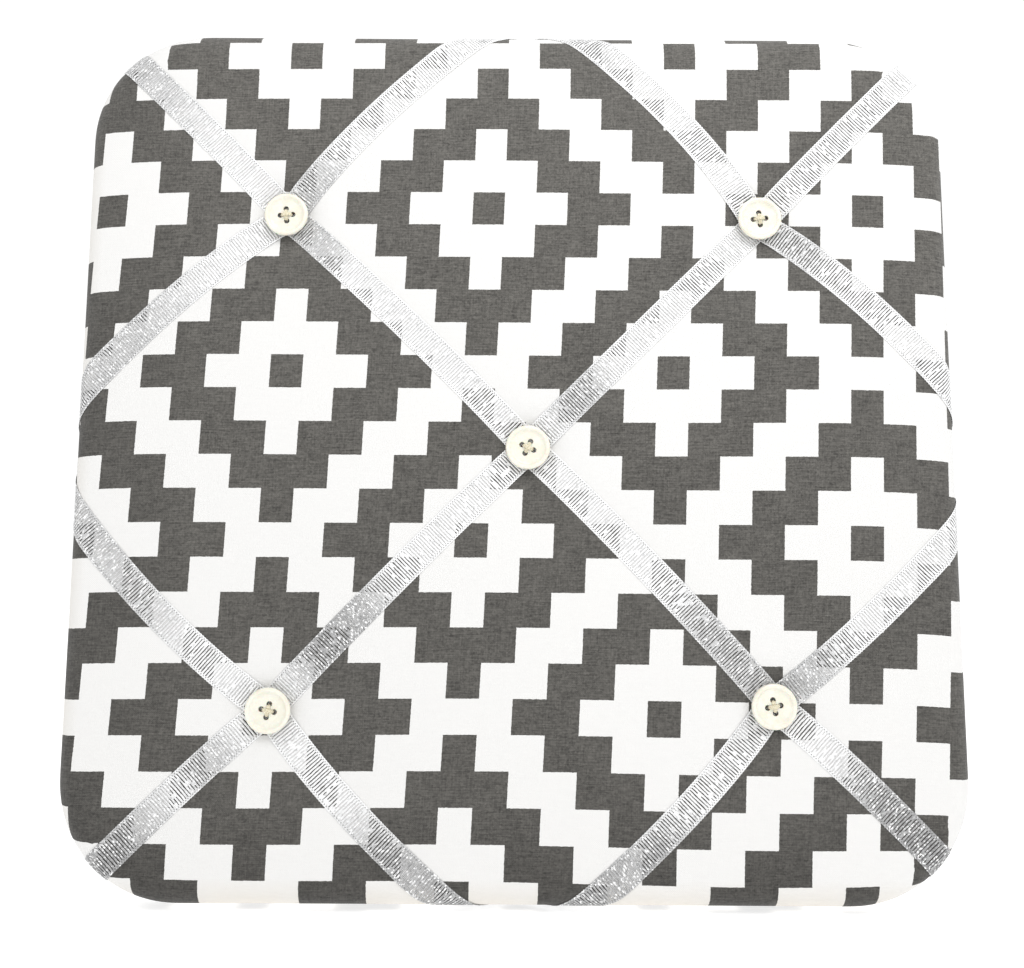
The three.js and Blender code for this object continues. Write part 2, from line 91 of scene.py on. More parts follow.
def from_row(p):
    p = np.asarray(p, float) * 1000.0
    return np.stack([p[..., 0], p[..., 2], -p[..., 1]], -1)


def smoothstep(a, b, x):
    t = np.clip((np.asarray(x, float) - a) / (b - a), 0, 1)
    return t * t * (3 - 2 * t)


def mesh_object(name, points, faces, smooth=True):
    """A mesh from points (x, z, d) in mm."""
    me = bpy.data.meshes.new(name)
    me.from_pydata([tuple(p) for p in to_row(points)], [], [tuple(int(i) for i in f) for f in faces])
    me.validate()
    ob = bpy.data.objects.new(name, me)
    scene.collection.objects.link(ob)
    if smooth:
        me.polygons.foreach_set("use_smooth", [True] * len(me.polygons))
    return ob


def points_of(me):
    co = np.zeros(len(me.vertices) * 3, np.float32)
    me.vertices.foreach_get("co", co)
    return co.reshape(-1, 3).astype(float)


def bake_modifiers(ob):
    """The object's mesh with its modifiers applied."""
    dg = bpy.context.evaluated_depsgraph_get()
    made = bpy.data.meshes.new_from_object(ob.evaluated_get(dg), preserve_all_data_layers=True, depsgraph=dg)
    old = ob.data
    ob.modifiers.clear()
    ob.data = made
    made.name = old.name
    bpy.data.meshes.remove(old)
    return ob


def cut(ob, cutters):
    for c in cutters:
        m = ob.modifiers.new("cut", "BOOLEAN")
        m.operation, m.solver, m.object = "DIFFERENCE", "EXACT", c
    bpy.context.view_layer.update()
    bake_modifiers(ob)
    for c in cutters:
        me = c.data
        bpy.data.objects.remove(c)
        bpy.data.meshes.remove(me)
    return ob


def outwards(ob):
    bm = bmesh.new()
    bm.from_mesh(ob.data)
    bmesh.ops.recalc_face_normals(bm, faces=bm.faces)
    bm.to_mesh(ob.data)
    bm.free()
    return ob


def lathe(profile, sides, at=(0.0, 0.0), closed=False):
    """Points and faces of a turned shape; profile is (radius, depth), on the axis at both ends unless closed."""
    pts, faces, rows = [], [], []
    for r, d in profile:
        if r < 1e-6:
            rows.append([len(pts)])
            pts.append((at[0], at[1], d))
        else:
            rows.append(list(range(len(pts), len(pts) + sides)))
            for i in range(sides):
                a = 2 * math.pi * i / sides
                pts.append((at[0] + r * math.cos(a), at[1] + r * math.sin(a), d))
    pairs = list(zip(rows[:-1], rows[1:]))
    if closed:
        pairs.append((rows[-1], rows[0]))
    for a, b in pairs:
        for i in range(sides):
            j = (i + 1) % sides
            if len(a) == 1 and len(b) == 1:
                continue
            if len(a) == 1:
                faces.append((a[0], b[j], b[i]))
            elif len(b) == 1:
                faces.append((a[i], a[j], b[0]))
            else:
                faces.append((a[i], a[j], b[j], b[i]))
    return pts, faces


def tube(path, radius, sides, closed=False, normal=(0, 0, 1)):
    """Points and faces of a round tube along a path; radius may be one per point."""
    path = np.asarray(path, float)
    n = len(path)
    radius = np.broadcast_to(np.asarray(radius, float), (n,))
    if closed:
        tan = np.roll(path, -1, 0) - np.roll(path, 1, 0)
    else:
        tan = np.gradient(path, axis=0)
    tan /= np.linalg.norm(tan, axis=1)[:, None]
    ref = np.asarray(normal, float)
    pts, faces = [], []
    side = None
    for i in range(n):
        base = ref if side is None else side
        b = base - (base @ tan[i]) * tan[i]
        if np.linalg.norm(b) < 1e-6:
            b = np.cross(tan[i], [0.3, 0.5, 0.8])
        b /= np.linalg.norm(b)
        side = b
        c = np.cross(tan[i], b)
        for k in range(sides):
            a = 2 * math.pi * k / sides
            pts.append(path[i] + radius[i] * (math.cos(a) * b + math.sin(a) * c))
    last = n if closed else n - 1
    for i in range(last):
        for k in range(sides):
            a, b = i * sides + k, i * sides + (k + 1) % sides
            c, d = ((i + 1) % n) * sides + (k + 1) % sides, ((i + 1) % n) * sides + k
            faces.append((a, b, c, d))
    if not closed:
        faces.append(tuple(range(sides - 1, -1, -1)))
        faces.append(tuple((n - 1) * sides + k for k in range(sides)))
    return pts, faces


def merge(parts):
    pts, faces = [], []
    for p, f in parts:
        o = len(pts)
        pts.extend([tuple(q) for q in p])
        faces.extend([tuple(i + o for i in g) for g in f])
    return pts, faces


# ------------------------------------------------------------------ materials
class Nodes:
    """Short hand for building a node material."""

    def __init__(self, name):
        self.mat = bpy.data.materials.new(name)
        self.mat.use_nodes = True
        self.t = self.mat.node_tree
        self.t.nodes.clear()
        self.out = self.t.nodes.new("ShaderNodeOutputMaterial")
        self.bsdf = self.t.nodes.new("ShaderNodeBsdfPrincipled")
        self.t.links.new(self.bsdf.outputs[0], self.out.inputs["Surface"])

    def link(self, a, b):
        self.t.links.new(a, b)

    def math(self, op, a, b=None, c=None):
        n = self.t.nodes.new("ShaderNodeMath")
        n.operation = op
        for i, v in enumerate((a, b, c)):
            if v is None:
                continue
            if isinstance(v, (int, float)):
                n.inputs[i].default_value = v
            else:
                self.link(v, n.inputs[i])
        return n.outputs[0]

    def mix(self, fac, a, b):
        n = self.t.nodes.new("ShaderNodeMix")
        n.data_type = "RGBA"
        for key, v in ((0, fac), (6, a), (7, b)):
            if isinstance(v, (int, float)):
                n.inputs[key].default_value = v
            elif isinstance(v, tuple):
                n.inputs[key].default_value = (*v, 1.0)
            else:
                self.link(v, n.inputs[key])
        return n.outputs[2]

    def combine(self, x, y, z=0.0):
        n = self.t.nodes.new("ShaderNodeCombineXYZ")
        for i, v in enumerate((x, y, z)):
            if isinstance(v, (int, float)):
                n.inputs[i].default_value = v
            else:
                self.link(v, n.inputs[i])
        return n.outputs[0]

    def separate(self, v):
        n = self.t.nodes.new("ShaderNodeSeparateXYZ")
        self.link(v, n.inputs[0])
        return n.outputs

    def noise(self, vector, scale, detail=2.0, rough=0.5):
        n = self.t.nodes.new("ShaderNodeTexNoise")
        self.link(vector, n.inputs["Vector"])
        n.inputs["Scale"].default_value = scale
        n.inputs["Detail"].default_value = detail
        n.inputs["Roughness"].default_value = rough
        return n.outputs["Fac"]

    def voronoi(self, vector, scale, out="Distance"):
        n = self.t.nodes.new("ShaderNodeTexVoronoi")
        self.link(vector, n.inputs["Vector"])
        n.inputs["Scale"].default_value = scale
        return n.outputs[out]

    def ramp(self, value, low, high, to_low=0.0, to_high=1.0):
        n = self.t.nodes.new("ShaderNodeMapRange")
        self.link(value, n.inputs[0])
        for i, v in enumerate((low, high, to_low, to_high)):
            n.inputs[i + 1].default_value = v
        return n.outputs[0]

    def uv(self, name):
        n = self.t.nodes.new("ShaderNodeUVMap")
        n.uv_map = name
        return n.outputs[0]

    def object_coords(self):
        return self.t.nodes.new("ShaderNodeTexCoord").outputs["Object"]

    def scaled(self, vector, s):
        n = self.t.nodes.new("ShaderNodeVectorMath")
        n.operation = "MULTIPLY"
        self.link(vector, n.inputs[0])
        n.inputs[1].default_value = s
        return n.outputs[0]

    def bump(self, height, distance, strength=1.0):
        n = self.t.nodes.new("ShaderNodeBump")
        n.inputs["Strength"].default_value = strength
        n.inputs["Distance"].default_value = distance
        self.link(height, n.inputs["Height"])
        self.link(n.outputs[0], self.bsdf.inputs["Normal"])
        return n.outputs[0]

    def set(self, **values):
        for k, v in values.items():
            s = self.bsdf.inputs[k.replace("_", " ")]
            if isinstance(v, bpy.types.NodeSocket):
                self.link(v, s)
            elif isinstance(v, tuple):
                s.default_value = (*v, 1.0)
            else:
                s.default_value = v


def print_material():
    """Woven cotton printed with stepped diamonds; the map "cells" counts the print's cells."""
    m = Nodes("printed_cotton")
    cell = m.uv("cells")
    u, v, _ = m.separate(cell)
    mm = m.scaled(cell, (10.77, 11.26, 1.0))
    # the print's edges follow the threads, so they wander a little
    wob = m.noise(m.scaled(mm, (1.1, 1.1, 1.0)), 1.0, 3.0, 0.6)
    wob2 = m.noise(m.scaled(mm, (0.9, 1.3, 1.0)), 1.0, 3.0, 0.6)
    wu = m.math("ADD", u, m.math("MULTIPLY", m.math("SUBTRACT", wob, 0.5), 0.034))
    wv = m.math("ADD", v, m.math("MULTIPLY", m.math("SUBTRACT", wob2, 0.5), 0.034))
    s = m.math("ADD", m.math("PINGPONG", m.math("ROUND", wu), 6.0), m.math("PINGPONG", m.math("ROUND", wv), 5.0))
    band = m.math("FLOORED_MODULO", m.math("ADD", s, 1.5), 4.0)
    dark = m.math("LESS_THAN", band, 2.0)
    # threads: streaks along the weft and the warp, about half a millimetre apart
    x, y, _ = m.separate(mm)
    weft = m.noise(m.combine(m.math("MULTIPLY", x, 0.16), m.math("MULTIPLY", y, 2.1)), 1.0, 3.0, 0.65)
    warp = m.noise(m.combine(m.math("MULTIPLY", x, 2.1), m.math("MULTIPLY", y, 0.13)), 1.0, 3.0, 0.65)
    blot = m.noise(m.scaled(mm, (0.07, 0.07, 1.0)), 1.0, 2.0, 0.5)
    streak = m.math("ADD", m.math("MULTIPLY", m.math("SUBTRACT", weft, 0.5), 1.0),
                    m.math("MULTIPLY", m.math("SUBTRACT", warp, 0.5), 0.55))
    fleck = m.voronoi(m.scaled(mm, (1.7, 1.9, 1.0)), 1.0, "Color")
    fleck = m.math("SUBTRACT", m.separate(fleck)[0], 0.5)
    ink = m.math("ADD", 1.0, m.math("ADD", m.math("MULTIPLY", streak, 1.7), m.math("MULTIPLY", m.math("SUBTRACT", blot, 0.5), 0.3)))
    ink = m.math("ADD", ink, m.math("MULTIPLY", fleck, 0.5))
    ground = m.math("ADD", 1.0, m.math("MULTIPLY", streak, 0.05))
    px, _, pz = m.separate(m.object_coords())
    # painted light and shade on the ink: paler towards the top, where the light falls, darker at the left edge and
    # along the bottom row
    ink_painted_shade = m.math("MULTIPLY", m.ramp(pz, -0.12, 0.15, 0.87, 1.13), m.ramp(px, -0.15, -0.105, 0.74, 1.0))    # the ink is a little paler towards the top
    ink_painted_shade = m.math("MULTIPLY", ink_painted_shade, m.ramp(pz, -0.149, -0.118, 0.68, 1.0))
    inked = m.t.nodes.new("ShaderNodeVectorMath")
    inked.operation = "SCALE"
    inked.inputs[0].default_value = (0.0995, 0.095, 0.0868)
    m.link(m.math("MULTIPLY", ink, ink_painted_shade), inked.inputs["Scale"])
    bare = m.t.nodes.new("ShaderNodeVectorMath")
    bare.operation = "SCALE"
    bare.inputs[0].default_value = (0.772, 0.767, 0.756)
    m.link(ground, bare.inputs["Scale"])
    # painted shade: the cloth is made darker and creamier where it goes round the lower and left edges, away from the
    # light
    rim_x = m.ramp(px, -0.1415, -0.148)
    rim_z = m.ramp(pz, -0.139, -0.148)
    cream = m.math("MULTIPLY", m.math("MAXIMUM", m.math("MULTIPLY", rim_x, 0.55), rim_z), m.ramp(blot, 0.3, 0.7, 0.7, 1.0))
    ground_tone = m.mix(m.math("MULTIPLY", cream, 0.8), bare.outputs[0], (0.69, 0.646, 0.578))
    m.set(Base_Color=m.mix(dark, ground_tone, inked.outputs[0]), Roughness=0.92, Sheen_Weight=0.12, Sheen_Roughness=0.6)
    m.bsdf.inputs["Specular IOR Level"].default_value = 0.25
    wx = m.math("SINE", m.math("MULTIPLY", x, 2 * math.pi / 0.62))
    wy = m.math("SINE", m.math("MULTIPLY", y, 2 * math.pi / 0.56))
    weave = m.math("ADD", m.math("MULTIPLY", m.math("MULTIPLY", wx, wy), 0.5), m.math("MULTIPLY", streak, 1.2))
    m.bump(weave, 0.00006, 0.8)
    return m.mat


def ribbon_material():
    """Silver-white ribbed ribbon; the map "strip" is (across, along) in millimetres."""
    m = Nodes("ribbed_ribbon")
    strip = m.uv("strip")
    a, l, _ = m.separate(strip)
    fine = m.noise(m.combine(m.math("MULTIPLY", a, 0.9), m.math("MULTIPLY", l, 6.5)), 1.0, 2.0, 0.6)
    cell = m.voronoi(m.combine(m.math("MULTIPLY", a, 2.6), m.math("MULTIPLY", l, 3.1)), 1.0, "Color")
    grain, spark, _ = m.separate(cell)
    flake = m.voronoi(m.combine(m.math("MULTIPLY", a, 1.5), m.math("MULTIPLY", l, 2.05)), 1.0, "Color")
    glint, dull, _ = m.separate(flake)
    patch = m.noise(m.combine(m.math("MULTIPLY", a, 0.35), m.math("MULTIPLY", l, 0.22)), 1.0, 2.0, 0.5)
    # painted shadow: a row of dark dots inside each selvage, where the gaps between the ribs lie in shade
    edge = m.math("ABSOLUTE", a)
    line = m.math("MULTIPLY", m.ramp(edge, 4.18, 4.3), m.ramp(edge, 4.72, 4.6))
    dots = m.ramp(m.math("SINE", m.math("MULTIPLY", l, 2 * math.pi / 0.98)), 0.1, 0.5)
    gap_shadow = m.math("MULTIPLY", line, dots)
    tone = m.mix(grain, (0.815, 0.818, 0.821), (0.92, 0.923, 0.926))
    tone = m.mix(m.ramp(patch, 0.35, 0.7, 0.0, 0.35), tone, (0.92, 0.92, 0.92))
    tone = m.mix(m.ramp(spark, 0.84, 0.9), tone, (0.98, 0.98, 0.985))
    # painted shade: a per-point map says how far the strip is painted grey, round the buttons and towards its lower and
    # left ends
    shade_fac = m.separate(m.uv("painted_ribbon_shade"))[0]
    grey = m.mix(m.math("MULTIPLY", m.math("ADD", grain, glint), 0.5), (0.075, 0.075, 0.0765), (0.45, 0.45, 0.452))
    grey = m.mix(m.ramp(dull, 0.80, 0.86), grey, (0.97, 0.97, 0.97))
    tone = m.mix(m.ramp(dull, 0.09, 0.05, 0.0, 0.5), tone, (0.45, 0.45, 0.452))
    tone = m.mix(shade_fac, tone, grey)
    # painted shadow dots along each selvage
    tone = m.mix(m.math("MULTIPLY", gap_shadow, 0.75), tone, (0.16, 0.16, 0.16))
    m.set(Base_Color=tone, Metallic=0.15,
          Roughness=m.math("ADD", m.ramp(spark, 0.0, 1.0, 0.45, 0.25), m.math("MULTIPLY", fine, 0.1)))
    m.bump(m.math("ADD", fine, m.math("MULTIPLY", grain, 0.8)), 0.0001, 0.6)
    return m.mat


def button_material():
    """Ivory polyester button with faint pearly clouding."""
    m = Nodes("ivory_button")
    p = m.object_coords()
    cloud = m.noise(m.scaled(p, (260.0, 260.0, 260.0)), 1.0, 4.0, 0.55)
    swirl = m.noise(m.scaled(p, (520.0, 140.0, 700.0)), 1.0, 3.0, 0.6)
    tone = m.mix(m.ramp(cloud, 0.3, 0.7), (0.775, 0.75, 0.63), (0.83, 0.815, 0.725))
    tone = m.mix(m.ramp(swirl, 0.45, 0.75, 0.0, 0.5), tone, (0.86, 0.848, 0.79))
    # painted shade: the holes' walls are darkened
    tone = m.mix(m.math("MULTIPLY", m.separate(m.uv("painted_hole_shade"))[0], 0.85), tone, (0.07, 0.055, 0.04))    # the holes' walls are dark
    m.set(Base_Color=tone, Roughness=m.ramp(cloud, 0.2, 0.8, 0.2, 0.34), Coat_Weight=0.25, Coat_Roughness=0.12,
          Subsurface_Weight=0.12, Subsurface_Scale=0.002)
    m.bump(m.noise(m.scaled(p, (1500.0, 1500.0, 1500.0)), 1.0, 2.0), 0.00003, 0.5)
    return m.mat


def thread_material():
    """Twisted cream sewing thread; the map "strip" is (round, along)."""
    m = Nodes("sewing_thread")
    a, l, _ = m.separate(m.uv("strip"))
    twist = m.math("SINE", m.math("ADD", m.math("MULTIPLY", a, 4 * math.pi), m.math("MULTIPLY", l, 6.5)))
    fuzz = m.noise(m.combine(m.math("MULTIPLY", a, 9.0), m.math("MULTIPLY", l, 9.0)), 1.0, 3.0)
    tone = m.mix(m.ramp(twist, -1.0, 1.0), (0.76, 0.67, 0.44), (0.94, 0.875, 0.67))
    tone = m.mix(m.ramp(fuzz, 0.35, 0.75, 0.0, 0.4), tone, (0.98, 0.94, 0.80))
    # painted shade: the thread darkens where it goes down into the holes
    tone = m.mix(m.math("MULTIPLY", m.separate(m.uv("painted_hole_shade"))[0], 0.7), tone, (0.16, 0.12, 0.07))
    m.set(Base_Color=tone, Roughness=0.7, Sheen_Weight=0.3)
    m.bump(m.math("ADD", twist, m.math("MULTIPLY", fuzz, 0.7)), 0.00012, 0.9)
    return m.mat


def wadding_material():
    m = Nodes("polyester_wadding")
    p = m.object_coords()
    fibre = m.noise(m.scaled(p, (900.0, 300.0, 900.0)), 1.0, 6.0, 0.75)
    clump = m.noise(m.scaled(p, (70.0, 70.0, 70.0)), 1.0, 3.0)
    tone = m.mix(fibre, (0.72, 0.72, 0.70), (0.92, 0.92, 0.91))
    tone = m.mix(m.ramp(clump, 0.4, 0.7, 0.0, 0.35), tone, (0.84, 0.835, 0.82))
    m.set(Base_Color=tone, Roughness=1.0, Sheen_Weight=0.4)
    m.bump(m.math("ADD", fibre, clump), 0.0006, 0.8)
    return m.mat


def board_material():
    m = Nodes("fibreboard")
    p = m.object_coords()
    chip = m.noise(m.scaled(p, (420.0, 900.0, 420.0)), 1.0, 5.0, 0.7)
    speck = m.voronoi(m.scaled(p, (900.0, 900.0, 900.0)), 1.0)
    tone = m.mix(m.ramp(chip, 0.3, 0.7), (0.30, 0.19, 0.10), (0.47, 0.33, 0.19))
    tone = m.mix(m.ramp(speck, 0.0, 0.5, 0.35, 0.0), tone, (0.20, 0.12, 0.06))
    m.set(Base_Color=tone, Roughness=m.ramp(chip, 0.2, 0.8, 0.65, 0.85))
    m.bump(chip, 0.0002, 0.6)
    return m.mat


def card_material():
    m = Nodes("greyboard")
    p = m.object_coords()
    fibre = m.noise(m.scaled(p, (700.0, 700.0, 700.0)), 1.0, 6.0, 0.7)
    fleck = m.voronoi(m.scaled(p, (500.0, 500.0, 500.0)), 1.0)
    tone = m.mix(fibre, (0.24, 0.22, 0.19), (0.40, 0.37, 0.33))
    tone = m.mix(m.ramp(fleck, 0.0, 0.25, 0.5, 0.0), tone, (0.16, 0.15, 0.14))
    m.set(Base_Color=tone, Roughness=0.9)
    m.bump(fibre, 0.0001, 0.5)
    return m.mat


def felt_material():
    m = Nodes("felt_lining")
    p = m.object_coords()
    fibre = m.noise(m.scaled(p, (1500.0, 800.0, 1500.0)), 1.0, 8.0, 0.8)
    hair = m.noise(m.scaled(p, (300.0, 300.0, 2200.0)), 1.0, 5.0, 0.7)
    mat = m.noise(m.scaled(p, (60.0, 60.0, 60.0)), 1.0, 3.0)
    tone = m.mix(m.ramp(fibre, 0.3, 0.7), (0.085, 0.082, 0.078), (0.165, 0.16, 0.152))
    tone = m.mix(m.ramp(hair, 0.5, 0.75, 0.0, 0.5), tone, (0.23, 0.225, 0.215))
    tone = m.mix(m.ramp(mat, 0.35, 0.7, 0.0, 0.45), tone, (0.075, 0.073, 0.069))
    heather = m.noise(m.scaled(p, (420.0, 420.0, 420.0)), 1.0, 4.0, 0.75)
    tone = m.mix(m.ramp(heather, 0.54, 0.7, 0.0, 0.55), tone, (0.27, 0.265, 0.255))
    tone = m.mix(m.ramp(heather, 0.44, 0.32, 0.0, 0.5), tone, (0.045, 0.044, 0.042))
    m.set(Base_Color=tone, Roughness=1.0, Sheen_Weight=0.5, Sheen_Roughness=0.5)
    m.bump(m.math("ADD", fibre, m.math("MULTIPLY", hair, 0.6)), 0.0004, 0.9)
    return m.mat


def steel_material():
    m = Nodes("plated_steel")
    p = m.object_coords()
    grain = m.noise(m.scaled(p, (300.0, 300.0, 2600.0)), 1.0, 3.0, 0.6)
    stain = m.noise(m.scaled(p, (160.0, 160.0, 160.0)), 1.0, 4.0, 0.6)
    tone = m.mix(m.ramp(stain, 0.35, 0.75), (0.52, 0.53, 0.54), (0.36, 0.355, 0.345))
    m.set(Base_Color=tone, Metallic=1.0, Roughness=m.math("ADD", m.ramp(stain, 0.3, 0.7, 0.14, 0.28), m.math("MULTIPLY", grain, 0.1)))
    m.bump(grain, 0.00002, 0.4)
    return m.mat


def floor_material():
    m = Nodes("studio_floor")
    cloud = m.noise(m.object_coords(), 3.0, 3.0)
    m.set(Base_Color=m.mix(cloud, (0.585, 0.585, 0.582), (0.615, 0.615, 0.615)), Roughness=0.75)
    m.set(Emission_Color=(1.0, 1.0, 1.0), Emission_Strength=0.70)
    return m.mat


MAT = {
    "printed_cotton": print_material(), "ribbon": ribbon_material(), "button": button_material(),
    "sewing_thread": thread_material(), "wadding": wadding_material(), "board": board_material(),
    "greyboard": card_material(), "felt_lining": felt_material(), "steel": steel_material(),
}


def finish_piece(ob, slot, *nodes, body="board"):
    ob.data.materials.clear()
    ob.data.materials.append(MAT[slot])
    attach(ob, body)
    if nodes:
        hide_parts(*nodes)
    return ob


def set_uv(ob, name, values):
    """Per-vertex (u, v) written to every face corner."""
    me = ob.data
    layer = me.uv_layers.get(name) or me.uv_layers.new(name=name)
    idx = np.zeros(len(me.loops), np.int32)
    me.loops.foreach_get("vertex_index", idx)
    layer.data.foreach_set("uv", np.asarray(values, np.float32)[idx].ravel())


# ------------------------------------------------------------------ camera
cam_data = bpy.data.cameras.new("camera")
cam_data.sensor_fit, cam_data.sensor_width = "HORIZONTAL", 36.0
cam_data.lens = 36.0 * 1000.0 / 1024.0
cam = bpy.data.objects.new("camera", cam_data)
scene.collection.objects.link(cam)
ax = Vector((1.0, -0.0009, 0.0053)).normalized()
az = Vector((-0.0003, -0.9934, -0.1148)).normalized()
ay = az.cross(ax).normalized()
ax = ay.cross(az).normalized()
place = Matrix((ax, ay, az)).transposed().to_4x4()
place.translation = Vector(to_row(EYE))
cam.matrix_world = place
cam_data.clip_start, cam_data.clip_end = 0.01, 50.0
scene.camera = cam

# ------------------------------------------------------------------ cover: the sheet before it is puffed up
N_SIDE = 80
STRAIGHT = HALF - CORNER_R
HALF_ARC = CORNER_R * math.pi / 4
QUARTER = 2 * STRAIGHT + 2 * HALF_ARC
SIDES = (((0, -1), (1, 0)), ((1, 0), (0, 1)), ((0, 1), (-1, 0)), ((-1, 0), (0, -1)))


def rim(half, r, n_side=N_SIDE):
    """Points and outward directions round a rounded square, n_side to a side, from corner middle to corner middle."""
    c = half - r
    pts, nrm = [], []
    for n, t in SIDES:
        n, t = np.array(n, float), np.array(t, float)
        for i in range(n_side):
            l = QUARTER * i / n_side
            if l < HALF_ARC:
                a = -math.pi / 4 * (1 - l / HALF_ARC)
                d = n * math.cos(a) + t * math.sin(a)
                p = -c * t + c * n + r * d
            elif l <= HALF_ARC + 2 * STRAIGHT:
                d = n
                p = t * (-c + 2 * c * (l - HALF_ARC) / (2 * STRAIGHT)) + half * n
            else:
                a = math.pi / 4 * (l - HALF_ARC - 2 * STRAIGHT) / HALF_ARC
                d = n * math.cos(a) + t * math.sin(a)
                p = c * t + c * n + r * d
            pts.append(p)
            nrm.append(d)
    return np.array(pts), np.array(nrm)


INNER_HALF, INNER_R = HALF - EDGE_A, CORNER_R - EDGE_A
ROUND_STEPS = 6
# side and turn-over: half, corner radius, depth
RINGS = [(148.5, 40, 10.6), (148.5, 40, 8.0), (148.5, 40, 5.7), (148.05, 39.5, 4.35), (146.9, 38.4, 3.9), (143.0, 34.5, 3.9), (138.5, 30.0, 3.9),
         (133.0, 25.0, 3.9), (127.0, 20.0, 3.9), (120.5, 15.5, 3.9), (114.6, 12.0, 3.9)]
SIDE_RING = ROUND_STEPS + 2                 # rings from here on are held by the board


def face_grid(b):
    """An even grid inside a closed edge of 4 x N_SIDE points."""
    n = N_SIDE
    g = np.zeros((n + 1, n + 1, 2))         # g[j, i]: i along x, j up
    ring = np.vstack([b, b[:1]])
    bottom, right, top, left = ring[0:n + 1], ring[n:2 * n + 1], ring[2 * n:3 * n + 1][::-1], ring[3 * n:4 * n + 1][::-1]
    u = np.linspace(0, 1, n + 1)
    U, V = np.meshgrid(u, u)
    for k in range(2):
        g[..., k] = ((1 - V) * bottom[None, :, k] + V * top[None, :, k] + (1 - U) * left[:, None, k] + U * right[:, None, k]
                     - ((1 - U) * (1 - V) * bottom[0, k] + U * (1 - V) * bottom[-1, k] + (1 - U) * V * top[0, k] + U * V * top[-1, k]))
    for _ in range(1500):
        g[1:-1, 1:-1] = (g[:-2, 1:-1] + g[2:, 1:-1] + g[1:-1, :-2] + g[1:-1, 2:]) / 4
    return g


def bowed(p, q, bow, way):
    """Points and headings a given way along a gently bowed run."""
    p, q, way = np.asarray(p, float), np.asarray(q, float), np.atleast_1d(np.asarray(way, float))
    length = np.linalg.norm(q - p)
    t = (q - p) / length
    c = np.array([-t[1], t[0]])
    f = way / length
    at = p + way[:, None] * t + (4 * bow * f * (1 - f))[:, None] * c
    head = t + (4 * bow * (1 - 2 * f) / length)[:, None] * c
    return at, head / np.linalg.norm(head, axis=1)[:, None]


def edge_at(p):
    """Outward direction and reach of the edge or corner that a ribbon end runs over."""
    c = HALF - CORNER_R
    if abs(p[0]) > c and abs(p[1]) > c:
        m = np.array([math.copysign(c, p[0]), math.copysign(c, p[1])])
        n = (np.array(p) - m) / np.linalg.norm(np.array(p) - m)
        return n, float(m @ n) + CORNER_R
    n = np.array([math.copysign(1, p[0]), 0.0]) if abs(p[0]) > abs(p[1]) else np.array([0.0, math.copysign(1, p[1])])
    return n, HALF


def run_out(name, end):
    """A ribbon end's last point on the flat face, its heading, the edge it crosses and the way there from the button."""
    spec = RIBBONS[name]
    button = spec["through"][0 if end == 0 else -1]
    n, outer = edge_at(spec["ends"][end])
    ways = np.arange(0, 130, 0.05)
    at, head = bowed(button, spec["ends"][end], spec["bows"][end], ways)
    i = int(np.argmax(at @ n >= outer - EDGE_A))
    return at[i], head[i], n, outer - EDGE_A, ways[i]


def ribbon_lines():
    """Each ribbon's runs on the face as short straight pieces, out past its ends."""
    runs = []
    for name, spec in RIBBONS.items():
        for end in (0, 1):
            last, head, _, _, way = run_out(name, end)
            pts, _ = bowed(spec["through"][0 if end == 0 else -1], spec["ends"][end], spec["bows"][end], np.linspace(0, way, 7))
            pts = list(pts) + [last + 40 * head]
            runs += list(zip(pts[:-1], pts[1:]))
        for i, b in enumerate(spec["between"]):
            p, q = spec["through"][i], spec["through"][i + 1]
            pts, _ = bowed(p, q, b, np.linspace(0, math.dist(p, q), 7))
            runs += list(zip(pts[:-1], pts[1:]))
    return runs


def from_lines(p, runs):
    """Distance of flat points from the nearest ribbon's middle."""
    best = np.full(len(p), 1e9)
    for a, b in runs:
        d = b - a
        t = np.clip(((p - a) @ d) / (d @ d), 0, 1)
        best = np.minimum(best, np.linalg.norm(p - a - t[:, None] * d, axis=1))
    return best


def from_buttons(p):
    return np.min([np.linalg.norm(p - np.array(at), axis=1) for at, _ in BUTTONS.values()], axis=0)


